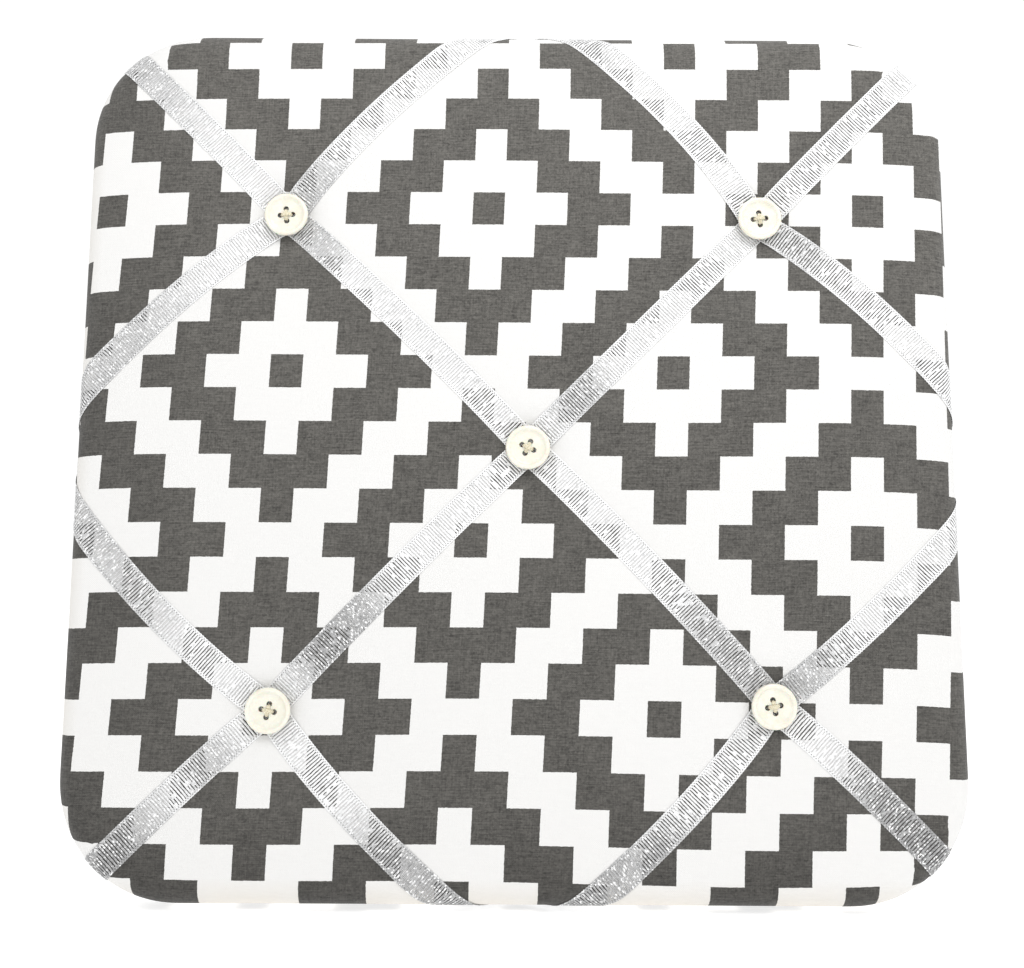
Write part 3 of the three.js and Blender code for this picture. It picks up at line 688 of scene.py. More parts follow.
def build_cover():
    """Sheet laid on the board: points, the same points spread flat, faces, ring numbers, edge point under each ring point."""
    n = N_SIDE
    outer, nrm = rim(HALF, CORNER_R)
    soft = np.maximum(nrm[:, 1], 0) ** 2    # the padding has sagged a little along the top edge
    reach, drop = EDGE_A + 3.0 * soft, EDGE_B + 2.0 * soft
    base = outer - nrm * reach[:, None]
    g = face_grid(base)
    face_id = np.arange((n + 1) * (n + 1)).reshape(n + 1, n + 1)
    edge_ids = list(face_id[0, :-1]) + list(face_id[:-1, -1]) + list(face_id[-1, ::-1][:-1]) + list(face_id[::-1, 0][:-1])
    rows = []
    for k in range(1, ROUND_STEPS + 1):
        f = k / ROUND_STEPS * math.pi / 2
        rows.append(np.column_stack([outer - nrm * (reach * (1 - math.sin(f)))[:, None], FACE_D - drop + drop * math.cos(f)]))
    rows += [np.column_stack([rim(h, r)[0], np.full(4 * n, d)]) for h, r, d in RINGS]
    flat = [np.column_stack([g.reshape(-1, 2), np.zeros((n + 1) ** 2)])]
    pos = [np.column_stack([g.reshape(-1, 2), np.full((n + 1) ** 2, FACE_D)])]
    faces = []
    for j in range(n):
        for i in range(n):
            faces.append((face_id[j, i], face_id[j, i + 1], face_id[j + 1, i + 1], face_id[j + 1, i]))
    prev, count = np.array(edge_ids), (n + 1) ** 2
    last, cloth = np.column_stack([base, np.full(4 * n, FACE_D)]), np.zeros(4 * n)
    for row in rows:
        inward = np.einsum("ij,ij->i", row[:, :2] - last[:, :2], nrm)
        cloth = cloth + np.hypot(inward, row[:, 2] - last[:, 2])
        last = row
        pos.append(row)
        flat.append(np.column_stack([base + nrm * cloth[:, None], cloth]))
        ids = np.arange(count, count + 4 * n)
        count += 4 * n
        for k in range(4 * n):
            q = (k + 1) % (4 * n)
            faces.append((prev[q], prev[k], ids[k], ids[q]))
        prev = ids
    ring_of = np.concatenate([np.zeros((n + 1) ** 2), np.repeat(np.arange(1, len(rows) + 1), 4 * n)])
    under = np.concatenate([np.arange((n + 1) ** 2), np.tile(edge_ids, len(rows))])
    return np.vstack(pos), np.vstack(flat), faces, ring_of, under


def puff(pos, flat, faces, ring_of):
    """Cloth simulation: the wadding presses the sheet out, the buttons and ribbons hold it down."""
    near_b, near_r = from_buttons(flat[:, :2]), from_lines(flat[:, :2], ribbon_lines())
    start = pos.copy()
    on_face = ring_of == 0
    inside = smoothstep(0.0, 9.0, INNER_HALF - np.abs(flat[:, :2]).max(axis=1))
    start[:, 2] -= np.where(on_face, 3.4 * np.exp(-np.maximum(near_b - 5.5, 0) / 7.0), 0)
    start[:, 2] -= np.where(on_face, 0.8 * smoothstep(9, 3, near_r) * inside, 0)
    scale = 10.0
    ob = mesh_object("sheet", pos * scale, faces)
    ob.shape_key_add(name="flat", from_mix=False)
    key = ob.shape_key_add(name="held", from_mix=False)
    key.data.foreach_set("co", to_row(start * scale).astype(np.float32).ravel())
    key.value = 1.0
    pin = ob.vertex_groups.new(name="pin")
    press = ob.vertex_groups.new(name="press")
    pins = np.zeros(len(pos))
    pins[ring_of >= SIDE_RING] = 1.0
    pins[on_face & (near_b < 5.6)] = 1.0
    held_down = np.where(on_face, 0.14 * smoothstep(7, 2.5, near_r), 0)
    edge_held = np.where((ring_of > 0) & (ring_of < SIDE_RING), 0.12, 0)
    pins = np.maximum(np.maximum(pins, held_down), edge_held)
    weight = smoothstep(4.0, 9.0, near_r) * smoothstep(5.0, 12.0, near_b)
    for i in range(len(pos)):
        if pins[i] > 0.004:
            pin.add([i], float(pins[i]), "REPLACE")
        press.add([i], float(weight[i]), "REPLACE")
    mod = ob.modifiers.new("cloth", "CLOTH")
    st = mod.settings
    st.quality = 6
    st.mass = 0.25
    st.air_damping = 2.0
    st.tension_stiffness = st.compression_stiffness = 30.0
    st.shear_stiffness = 12.0
    st.bending_stiffness = 2.0
    st.tension_damping = st.compression_damping = 12.0
    st.vertex_group_mass = "pin"
    st.pin_stiffness = 1.0
    st.use_pressure = True
    st.uniform_pressure_force = 0.06
    st.vertex_group_pressure = "press"
    st.rest_shape_key = ob.data.shape_keys.key_blocks["flat"]
    st.effector_weights.gravity = 0.0
    mod.collision_settings.use_collision = False
    mod.collision_settings.use_self_collision = False
    mod.point_cache.frame_start, mod.point_cache.frame_end = 1, 30
    for f in range(1, 25):
        scene.frame_set(f)
    dg = bpy.context.evaluated_depsgraph_get()
    got = from_row(points_of(ob.evaluated_get(dg).data)) / scale
    me = ob.data
    bpy.data.objects.remove(ob)
    bpy.data.meshes.remove(me)
    scene.frame_set(1)
    move = got - start
    far = np.linalg.norm(move, axis=1)
    cap = 2.4
    move *= (cap * np.tanh(far / cap) / np.maximum(far, 1e-9))[:, None]
    return start + move


# how far the cloth was drawn out of true when it was stretched: powers of x and z, drift in x and z (mm)
DRAWN = [
    (0, 0, 0.611, -0.591), (0, 1, 0.032, -1.236), (0, 2, 1.026, 2.796), (0, 3, 2.066, 3.943),
    (0, 4, -4.180, -0.153), (0, 5, -2.590, -3.843), (0, 6, 2.372, -1.240), (1, 0, 0.076, -0.233),
    (1, 1, 0.449, -1.251), (1, 2, 0.385, -1.004), (1, 3, -0.786, -0.378), (1, 4, 0.162, 0.347),
    (1, 5, 1.222, 2.226), (2, 0, -0.977, -0.466), (2, 1, -1.564, 2.611), (2, 2, 0.302, -8.295),
    (2, 3, 0.726, -1.173), (2, 4, 0.410, 5.352), (3, 0, 1.107, 0.995), (3, 1, 6.377, 0.428), (3, 2, -1.736, 0.894),
    (3, 3, 0.773, -2.353), (4, 0, -1.427, 3.900), (4, 1, 1.194, -2.712), (4, 2, -0.724, 4.886),
    (5, 0, -1.296, -1.124), (5, 1, -6.715, 0.986), (6, 0, 1.711, -5.209),
]


def cells(x, z):
    """The print's cell coordinates at a point of the flat face."""
    cx, cz = np.clip(x, -146, 146) / 150.0, np.clip(z, -146, 146) / 150.0
    x, z = x - sum(a * cx ** p * cz ** q for p, q, a, _ in DRAWN), z - sum(b * cx ** p * cz ** q for p, q, _, b in DRAWN)
    i, j = (x + 10.55) / 10.77, (82.95 - z) / 11.26
    for _ in range(12):
        fx = -10.55252 + 10.77472 * i - 0.46708 * j + 0.00789 * i * i + 0.01176 * i * j - 0.00053 * j * j - x
        fz = 82.94858 + 0.06823 * i - 11.26106 * j + 0.00001 * i * i - 0.0083 * i * j - 0.01275 * j * j - z
        a, b = 10.77472 + 2 * 0.00789 * i + 0.01176 * j, -0.46708 + 0.01176 * i - 2 * 0.00053 * j
        c, d = 0.06823 + 2 * 0.00001 * i - 0.0083 * j, -11.26106 - 0.0083 * i - 2 * 0.01275 * j
        det = a * d - b * c
        i, j = i - (d * fx - b * fz) / det, j - (a * fz - c * fx) / det
    return i, j


pos, flat, faces, ring_of, under = build_cover()
held = puff(pos, flat, faces, ring_of)
# the print was laid out from the front, so on the face it is looked up along the line of sight;
# past the face's edge it goes on along the cloth
on_face = ring_of == 0
sight = EYE[:2] + (held[:, :2] - EYE[:2]) * ((FACE_D - EYE[2]) / (held[:, 2] - EYE[2]))[:, None]
drift = np.where(on_face[:, None], sight - flat[:, :2], 0)
lay_out = flat[:, :2] + drift[under]
cover = mesh_object("fabric_cover_sheet", held, faces)
for _name, _values in (("flat", flat), ("lay_out", np.column_stack([lay_out, ring_of]))):
    att = cover.data.attributes.new(_name, "FLOAT_VECTOR", "POINT")
    att.data.foreach_set("vector", _values.astype(np.float32).ravel())
m = cover.modifiers.new("finer", "SUBSURF")
m.levels = m.render_levels = 1
bake_modifiers(cover)
fine = from_row(points_of(cover.data))


def vectors_of(ob, name):
    out = np.zeros(len(ob.data.vertices) * 3, np.float32)
    ob.data.attributes[name].data.foreach_get("vector", out)
    return out.reshape(-1, 3).astype(float)


fine_flat, fine_print = vectors_of(cover, "flat"), vectors_of(cover, "lay_out")
set_uv(cover, "cells", np.column_stack(cells(fine_print[:, 0], fine_print[:, 1])))

# ------------------------------------------------------------------ cover: wound-over corners, print, thickness
def corner_angle(p):
    """For flat points: 1 inside a corner's fan and the angle round it from its middle, else 0."""
    c = HALF - CORNER_R
    q = np.abs(p[:, :2]) - c
    inside = (q[:, 0] > 0) & (q[:, 1] > 0)
    ang = np.where(inside, np.arctan2(q[:, 1], q[:, 0]) - math.pi / 4, 0)
    return inside, ang * np.sign(p[:, 0] * p[:, 1])


beyond = fine_flat[:, 2]                      # length of cloth from the face's edge
in_corner, turn = corner_angle(fine_flat)
normals = np.zeros(len(cover.data.vertices) * 3, np.float32)
cover.data.vertices.foreach_get("normal", normals)
normals = from_row(normals.reshape(-1, 3).astype(float)) / 1000.0
which = np.sign(fine_flat[:, 0]) + 2 * np.sign(fine_flat[:, 1])
fold = np.abs(np.sin(turn * (4.6 + 0.35 * which) + 0.6 * which)) ** 0.7
fold = fold * smoothstep(0.74, 0.5, np.abs(turn)) * smoothstep(0.13, 0.34, np.abs(turn)) * in_corner    # flat under the ribbon
rise = smoothstep(10.0, 20.5, beyond) * (1 - 0.72 * smoothstep(23.0, 42.0, beyond))
fine = fine + normals * (fold * rise * 1.15)[:, None]
# cloth never lies quite dead flat: slow, shallow unevenness along the sides and the turn-over
slow = np.sin(fine_flat[:, 0] * 0.071 + 1.3) * np.sin(fine_flat[:, 1] * 0.083 + 0.4)
slow += 0.6 * np.sin(fine_flat[:, 0] * 0.19 + fine_flat[:, 1] * 0.13)
fine = fine + normals * (0.16 * slow * smoothstep(9.0, 17.0, beyond))[:, None]
cover.data.vertices.foreach_set("co", to_row(fine).astype(np.float32).ravel())
cover.data.update()
COVER_TREE = BVHTree.FromPolygons([Vector(p) for p in fine], [tuple(p.vertices) for p in cover.data.polygons])

# ------------------------------------------------------------------ ribbons
PITCH, RIB = 0.98, 0.63
ACROSS = np.array([-5.15, -4.75, -4.1, -2.75, -1.4, 0.0, 1.4, 2.75, 4.1, 4.75, 5.15])
SELVAGE = (0, 1, 8, 9)                    # columns that run on between the ribs


def edge_profile():
    """(length of cloth, distance out, depth) round the board's edge, from the face's edge to the back."""
    pts = [(EDGE_A * math.sin(f), FACE_D - EDGE_B + EDGE_B * math.cos(f)) for f in np.linspace(0, math.pi / 2, 25)]
    pts += [(EDGE_A, d) for d in np.linspace(FACE_D - EDGE_B, HEM_D + 1.3, 8)[1:]]
    pts += [(EDGE_A - 1.3 + 1.3 * math.cos(f), HEM_D + 1.3 - 1.3 * math.sin(f)) for f in np.linspace(0, math.pi / 2, 7)[1:]]
    pts += [(EDGE_A - 1.3 - x, HEM_D) for x in np.linspace(0, 40, 21)[1:]]
    pts = np.array(pts)
    v = np.concatenate([[0], np.cumsum(np.linalg.norm(np.diff(pts, axis=0), axis=1))])
    return v, pts[:, 0], pts[:, 1]


PROFILE = edge_profile()
BACK_V = float(np.interp(0, -PROFILE[2] + HEM_D + 0.01, PROFILE[0]))


def face_height(x, z):
    hit = COVER_TREE.ray_cast(Vector((x, z, 60.0)), Vector((0, 0, -1)))
    return (hit[0].z, hit[1]) if hit[0] is not None else (FACE_D, Vector((0, 0, 1)))


def lay(p_flat, n, e, n0):
    """Where a point of a flat strip lands on the covered board, and which way is out there."""
    v = float(p_flat @ n) - n0
    if v <= 0:
        h, up = face_height(*p_flat)
        return np.array([p_flat[0], p_flat[1], h]), np.array(up)
    out, d = np.interp(v, PROFILE[0], PROFILE[1]), np.interp(v, PROFILE[0], PROFILE[2])
    flat_pt = n * (n0 + out) + e * float(p_flat @ e)
    near, up, _, _ = COVER_TREE.find_nearest(Vector((flat_pt[0], flat_pt[1], d)))
    near, up = np.array(near), np.array(up)
    w = float(smoothstep(0.0, 6.0, v))
    if w < 1:
        h, up2 = face_height(*flat_pt)
        near = w * near + (1 - w) * np.array([flat_pt[0], flat_pt[1], h])
        up = w * up + (1 - w) * np.array(up2)
    return near, up / np.linalg.norm(up)


def blur_rows(a, sigma):
    """Gaussian blur down the rows of an array."""
    r = int(3 * sigma + 1)
    k = np.exp(-0.5 * (np.arange(-r, r + 1) / sigma) ** 2)
    k /= k.sum()
    pad = np.concatenate([np.repeat(a[:1], r, 0), a, np.repeat(a[-1:], r, 0)])
    return np.stack([np.apply_along_axis(lambda c: np.convolve(c, k, "valid"), 0, pad[..., i]) for i in range(a.shape[-1])], -1)


def ribbon_painted_shade(p):
    """Painted shade at flat points of a ribbon, from 0 to 1: round the given places and along the lower and left edges.
    """
    plain = (1 - 0.5 * smoothstep(-100, -130, p[..., 0])) * (1 - 0.72 * smoothstep(-112, -136, p[..., 1]))
    for at, reach, strength in PAINTED_SHADE_SPOTS:
        plain = plain * (1 - strength * smoothstep(reach, 0.25 * reach, np.linalg.norm(p - np.array(at, float), axis=-1)))
    return 1 - plain


def crossings(name):
    """Flat points where this ribbon's ends run over another ribbon on the edge."""
    found = []
    if not RIBBONS[name]["high"]:
        return found
    for end in (0, 1):
        o, t, _, _, _ = run_out(name, end)
        for other in RIBBONS:
            if other == name or other.startswith("ribbon_diagonal"):
                continue
            for end2 in (0, 1):
                o2, t2, _, _, _ = run_out(other, end2)
                if np.linalg.norm(o - o2) < 70:
                    k = np.linalg.solve(np.column_stack([t, -t2]), o2 - o)
                    found.append(o + k[0] * t)
    return found


def build_ribbon(name):
    spec = RIBBONS[name]
    rng = np.random.default_rng(sum(map(ord, name)))
    knots = [np.array(k) for k in spec["through"]]
    outs = [run_out(name, 0), run_out(name, 1)]
    tails = []
    for at, head, n, n0, way in outs:
        tails.append((BACK_V + RIBBON_TAIL) / float(head @ n))
    # stretches of the strip: tail, run to the first button, runs between buttons, run out, tail
    lengths = [tails[0], outs[0][4]] + [math.dist(p, q) for p, q in zip(knots[:-1], knots[1:])] + [outs[1][4], tails[1]]
    marks = np.concatenate([[0], np.cumsum(lengths)])
    total = marks[-1]
    n_pitch = int(total // PITCH)
    along, kind = [], []
    for i in range(n_pitch):
        for o, up in ((0.0, 0.0), (RIB / 2, 1.0), (RIB, 0.0)):
            along.append(i * PITCH + o)
            kind.append(up)
    along, kind = np.array(along), np.array(kind)
    n_rows, n_cols = len(along), len(ACROSS)
    O, D = np.zeros((n_rows, 2)), np.zeros((n_rows, 2))
    edge = np.zeros(n_rows, int)
    for r, w in enumerate(along):
        i = min(int(np.searchsorted(marks, w, "right")) - 1, len(lengths) - 1)
        f = w - marks[i]
        if i == 0:
            O[r], D[r] = outs[0][0] + (tails[0] - f) * outs[0][1], -outs[0][1]
        elif i == 1:
            a, h = bowed(knots[0], spec["ends"][0], spec["bows"][0], lengths[1] - f)
            O[r], D[r] = a[0], -h[0]
        elif i == len(lengths) - 1:
            O[r], D[r], edge[r] = outs[1][0] + f * outs[1][1], outs[1][1], 1
        elif i == len(lengths) - 2:
            a, h = bowed(knots[-1], spec["ends"][1], spec["bows"][1], f)
            O[r], D[r], edge[r] = a[0], h[0], 1
        else:
            a, h = bowed(knots[i - 2], knots[i - 1], spec["between"][i - 2], f)
            O[r], D[r], edge[r] = a[0], h[0], -1
    # the runs meet at slight angles under the buttons: ease the path and its heading there
    O = blur_rows(O[:, None, :], 4.0)[:, 0]
    D = blur_rows(D[:, None, :], 6.0)[:, 0]
    D /= np.linalg.norm(D, axis=1)[:, None]
    C = np.column_stack([-D[:, 1], D[:, 0]])
    # hand-loomed: the gaps between the ribs are never quite alike
    stray = rng.normal(0, 0.045, (n_rows, n_cols)).clip(-0.1, 0.1)
    stray[kind > 0.5] *= 0.5
    stray[:, [0, 1, -2, -1]] *= 0.3
    spread = np.broadcast_to(ACROSS, (n_rows, n_cols)).copy()
    spread[kind < 0.5, 0] += 0.16           # the ribs end in small loops along the selvage
    spread[kind < 0.5, -1] -= 0.16
    F = O[:, None] + stray[..., None] * D[:, None] + spread[..., None] * C[:, None]
    P, U = np.zeros((n_rows, n_cols, 3)), np.zeros((n_rows, n_cols, 3))
    for r in range(n_rows):
        n, n0 = (outs[edge[r]][2], outs[edge[r]][3]) if edge[r] >= 0 else (np.array([0.0, 1.0]), 1e6)
        e = np.array([-n[1], n[0]])
        for k in range(n_cols):
            P[r, k], U[r, k] = lay(F[r, k], n, e, n0)
    # the strip is taut: level across its width and smooth along its length
    U = blur_rows(U, 4.0)
    U /= np.linalg.norm(U, axis=2)[..., None]
    base = np.vander(ACROSS / 5.0, 3)
    fit = base @ np.linalg.pinv(base)
    smooth = blur_rows(np.einsum("ij,rjk->rik", fit, P), 3.0)
    shift = np.einsum("rck,rck->rc", smooth - P, U)    # only across the surface's own direction, so the gaps stay as they are
    need = np.maximum(0.0, 0.04 - shift).max(axis=1)
    need = np.max([np.roll(need, k) for k in range(-4, 5)], axis=0)
    P = P + U * (shift + blur_rows(need[:, None, None] * np.ones((1, n_cols, 1)), 2.7)[..., 0])[..., None]
    lift = np.full((n_rows, n_cols), 0.08)
    for k in spec["over"]:
        r = np.linalg.norm(F - np.array(BUTTONS[k][0]), axis=2)
        lift += 0.34 * smoothstep(16.0, 8.0, r)
    for x in crossings(name):
        lift += 0.34 * smoothstep(15.0, 8.0, np.linalg.norm(F - x, axis=2))
    rib = 0.07 * kind[:, None] * np.ones((1, n_cols))
    rib[:, [1, -2]] = 0.05
    rib[:, [0, -1]] = 0.0
    P = P + U * (lift + rib)[..., None]
    closed = rng.random((n_rows, n_cols)) < 0.08       # threads that bridge a gap
    faces = []
    for r in range(n_rows - 1):
        for k in range(n_cols - 1):
            if r % 3 != 2 or k in SELVAGE or closed[r, k]:
                i = r * n_cols + k
                faces.append((i, i + 1, i + n_cols + 1, i + n_cols))
    ob = mesh_object(name + "_strip", P.reshape(-1, 3), faces)
    set_uv(ob, "strip", np.stack([spread, along[:, None] + stray], -1).reshape(-1, 2))
    # painted shade on the ribbon, kept as a per-point map
    set_uv(ob, "painted_ribbon_shade", np.stack([ribbon_painted_shade(F), np.zeros((n_rows, n_cols))], -1).reshape(-1, 2))
    m = ob.modifiers.new("thickness", "SOLIDIFY")
    m.thickness, m.offset, m.use_rim = 0.00012, 0.0, True
    bake_modifiers(ob)
    finish_piece(ob, "ribbon", name)
    return ob


for _name in RIBBONS:
    build_ribbon(_name)

# the cover's own thickness, laid inwards
m = cover.modifiers.new("thickness", "SOLIDIFY")
m.thickness, m.offset, m.use_rim = 0.0005, -1.0, True
bake_modifiers(cover)
finish_piece(cover, "printed_cotton", "fabric_cover")

# ------------------------------------------------------------------ wadding
def build_wadding():
    n = N_SIDE
    g = len(pos[ring_of == 0])
    top = held[:g].copy()
    ob_n = np.zeros_like(held)
    tri = np.array([f for f in faces])
    a, b, c = held[tri[:, 0]], held[tri[:, 1]], held[tri[:, 2]]
    fn = np.cross(b - a, c - a)
    for k in range(4):
        np.add.at(ob_n, tri[:, k], fn)
    ob_n /= np.linalg.norm(ob_n, axis=1)[:, None]
    inner = held - 1.1 * ob_n
    rows = [inner[ring_of == k] for k in range(1, ROUND_STEPS + 1)]
    low = rows[-1].copy()
    low[:, 2] = 10.15
    pts = [inner[:g], *rows, low]
    quads = [f for f in faces if max(f) < g + ROUND_STEPS * 4 * n]
    first, low_first = g + (ROUND_STEPS - 1) * 4 * n, g + ROUND_STEPS * 4 * n
    for k in range(4 * n):
        q = (k + 1) % (4 * n)
        quads.append((first + q, first + k, low_first + k, low_first + q))
    # flat underside: the face's grid again, stretched to the outline
    grid = np.arange((n + 1) ** 2).reshape(n + 1, n + 1)
    edge = list(grid[0, :-1]) + list(grid[:-1, -1]) + list(grid[-1, ::-1][:-1]) + list(grid[::-1, 0][:-1])
    under = pos[:g].copy()
    under[:, :2] *= (HALF - 1.2) / INNER_HALF
    under[:, 2] = 10.15
    start = low_first + 4 * n
    ids = np.arange(start, start + g)
    ids[np.array(edge)] = low_first + np.arange(4 * n)
    pts.append(under)
    for j in range(n):
        for i in range(n):
            quads.append((ids[grid[j, i]], ids[grid[j + 1, i]], ids[grid[j + 1, i + 1]], ids[grid[j, i + 1]]))
    ob = mesh_object("wadding_pad", np.vstack(pts), quads)
    bm = bmesh.new()
    bm.from_mesh(ob.data)
    bmesh.ops.delete(bm, geom=[v for v in bm.verts if not v.link_faces], context="VERTS")
    bmesh.ops.recalc_face_normals(bm, faces=bm.faces)
    bm.to_mesh(ob.data)
    bm.free()
    finish_piece(ob, "wadding", "wadding")


build_wadding()

# ------------------------------------------------------------------ buttons and their thread
BUTTON_PROFILE = [(0, 17.3), (3.0, 17.3), (5.3, 17.35), (6.5, 17.75), (7.2, 18.35), (7.47, 18.9), (7.42, 19.35), (7.15, 19.72),
                  (6.78, 19.89), (6.42, 19.88), (6.12, 19.7), (5.85, 19.36), (5.5, 19.1), (4.9, 18.97), (3.9, 18.92), (2.0, 18.9), (0, 18.9)]


def vertex_mm(ob):
    """Vertices as (x, z, depth) in millimetres."""
    co = np.zeros(3 * len(ob.data.vertices))
    ob.data.vertices.foreach_get("co", co)
    co = 1000.0 * co.reshape(-1, 3)
    return np.stack([co[:, 0], co[:, 2], -co[:, 1]], -1)


def build_button(spot):
    (x, z), turn = BUTTONS[spot]
    p, f = lathe(BUTTON_PROFILE, 72)
    ob = mesh_object(f"button_{spot}_disc", np.array(p) + [x, z, 0], f)
    outwards(ob)
    corners = [(HOLE_PITCH / math.sqrt(2) * math.cos(turn + math.pi / 4 + i * math.pi / 2),
                HOLE_PITCH / math.sqrt(2) * math.sin(turn + math.pi / 4 + i * math.pi / 2)) for i in range(4)]
    cutters = []
    for i, (cx, cz) in enumerate(corners):
        cp, cf = lathe([(0, 16.5), (HOLE_R + 0.1, 16.5), (HOLE_R, 17.5), (HOLE_R, 18.62), (HOLE_R + 0.09, 18.8), (HOLE_R + 0.3, 18.98), (HOLE_R + 0.3, 19.6), (0, 19.6)], 28)
        c = mesh_object("hole_%d" % i, np.array(cp) + [x + cx, z + cz, 0], cf)
        outwards(c)
        cutters.append(c)
    cut(ob, cutters)
    ob.data.polygons.foreach_set("use_smooth", [True] * len(ob.data.polygons))
    ob.data.set_sharp_from_angle(angle=math.radians(38))
    at = vertex_mm(ob)
    inside = np.min([np.hypot(at[:, 0] - x - cx, at[:, 1] - z - cz) for cx, cz in corners], axis=0) < HOLE_R + 0.2
    # painted shade inside the holes, below the button's top face
    set_uv(ob, "painted_hole_shade", np.stack([inside & (at[:, 2] < 18.75), np.zeros(len(at))], -1))
    finish_piece(ob, "button", f"button_{spot}")

    # two crossed stitches of four strands each, their legs, the shank through the board and a knot behind it
    parts, uv = [], []
    rng = np.random.default_rng(sum(map(ord, spot)))

    def strand(keys, radius, sides=8, steps=30):
        keys = np.asarray(keys, float)
        t = np.concatenate([[0], np.cumsum(np.linalg.norm(np.diff(keys, axis=0), axis=1))])
        at = np.linspace(0, t[-1], steps)
        # smooth curve through the points
        idx = np.clip(np.searchsorted(t, at, "right") - 1, 0, len(keys) - 2)
        h = (t[idx + 1] - t[idx])[:, None]
        w = ((at - t[idx])[:, None]) / h
        m0 = np.gradient(keys, t, axis=0)
        a0, a1, b0, b1 = keys[idx], keys[idx + 1], m0[idx], m0[idx + 1]
        curve = ((2 * w ** 3 - 3 * w ** 2 + 1) * a0 + (w ** 3 - 2 * w ** 2 + w) * h * b0 + (-2 * w ** 3 + 3 * w ** 2) * a1 + (w ** 3 - w ** 2) * h * b1)
        pp, ff = tube(curve, radius, sides)
        parts.append((np.array(pp) + [x, z, 0], ff))
        uv.extend([(k / sides, at[i]) for i in range(steps) for k in range(sides)])

    for level, (i, j) in enumerate(((0, 2), (1, 3))):
        a, b = np.array(corners[i]), np.array(corners[j])
        u = (b - a) / np.linalg.norm(b - a)
        w = np.array([-u[1], u[0]])
        for k, o in enumerate((-0.45, -0.15, 0.15, 0.45)):
            top = 19.42 + 0.5 * level + rng.uniform(-0.04, 0.05) - 0.12 * abs(o)
            o = o + rng.uniform(-0.05, 0.05)
            keys = [np.append(a + 0.3 * u + 0.4 * o * w, 17.0), np.append(a + 0.36 * u + 0.5 * o * w, 18.5), np.append(a + 0.68 * u + 0.75 * o * w, 19.1),
                    np.append(0.35 * a + 0.9 * o * w, top - 0.1), np.append(1.0 * o * w, top), np.append(0.35 * b + 0.9 * o * w, top - 0.1),
                    np.append(b - 0.68 * u + 0.75 * o * w, 19.1), np.append(b - 0.36 * u + 0.5 * o * w, 18.5), np.append(b - 0.3 * u + 0.4 * o * w, 17.0)]
            strand(keys, 0.24)
    for k in range(4):
        a0 = k * math.pi / 2
        keys = [(0.5 * math.cos(a0 + s * 3.0), 0.5 * math.sin(a0 + s * 3.0), 17.05 - s * 14.4) for s in np.linspace(0, 1, 9)]
        keys[0] = (1.3 * math.cos(a0), 1.3 * math.sin(a0), 17.0)
        strand(keys, 0.3, 6, 24)
    for k in range(3):
        ring = [(1.45 * math.cos(s) * (1 + 0.1 * math.sin(3 * s + k)), 1.45 * math.sin(s), 2.55 - 0.22 * k + 0.12 * math.sin(2 * s + 2 * k)) for s in np.linspace(0, 5.9, 14)]
        strand(ring, 0.32, 6, 28)
    p, f = merge(parts)
    th = mesh_object(f"button_thread_{spot}_strands", p, f)
    set_uv(th, "strip", uv)
    # painted shade on the thread below the button's face
    set_uv(th, "painted_hole_shade", np.stack([smoothstep(19.0, 18.5, vertex_mm(th)[:, 2]), np.zeros(len(p))], -1))
    outwards(th)
    finish_piece(th, "sewing_thread", f"button_thread_{spot}")


for _spot in BUTTONS:
    build_button(_spot)

# ------------------------------------------------------------------ felt lining on the back
def build_lining():
    half, r = HALF - 13.0, 27.0
    keep = face_grid(rim(half, r)[0]).reshape(-1, 2)
    q = np.abs(keep) - (half - r)
    inside = -(np.linalg.norm(np.maximum(q, 0), axis=1) + np.minimum(q.max(axis=1), 0) - r)
    wave = 0.12 * np.sin(keep[:, 0] * 0.11 + 0.5) + 0.1 * np.sin(keep[:, 1] * 0.13 + 1.1)
    d = 1.95 * smoothstep(8.5, 0.0, inside) + (wave + 0.1) * smoothstep(14.0, 4.0, inside)
    size = N_SIDE + 1
    ids = np.arange(size * size).reshape(size, size)
    quads = []
    for j in range(N_SIDE):
        for i in range(N_SIDE):
            quads.append((ids[j, i], ids[j + 1, i], ids[j + 1, i + 1], ids[j, i + 1]))
    ob = mesh_object("back_lining_felt", np.column_stack([keep, d]), quads)
    m = ob.modifiers.new("thickness", "SOLIDIFY")
    m.thickness, m.offset, m.use_rim = 0.0014, -1.0, True
    m = ob.modifiers.new("soft_edge", "BEVEL")
    m.width, m.segments, m.limit_method, m.angle_limit = 0.0004, 2, "ANGLE", math.radians(50)
    bake_modifiers(ob)
    finish_piece(ob, "felt_lining", "back_lining")


build_lining()

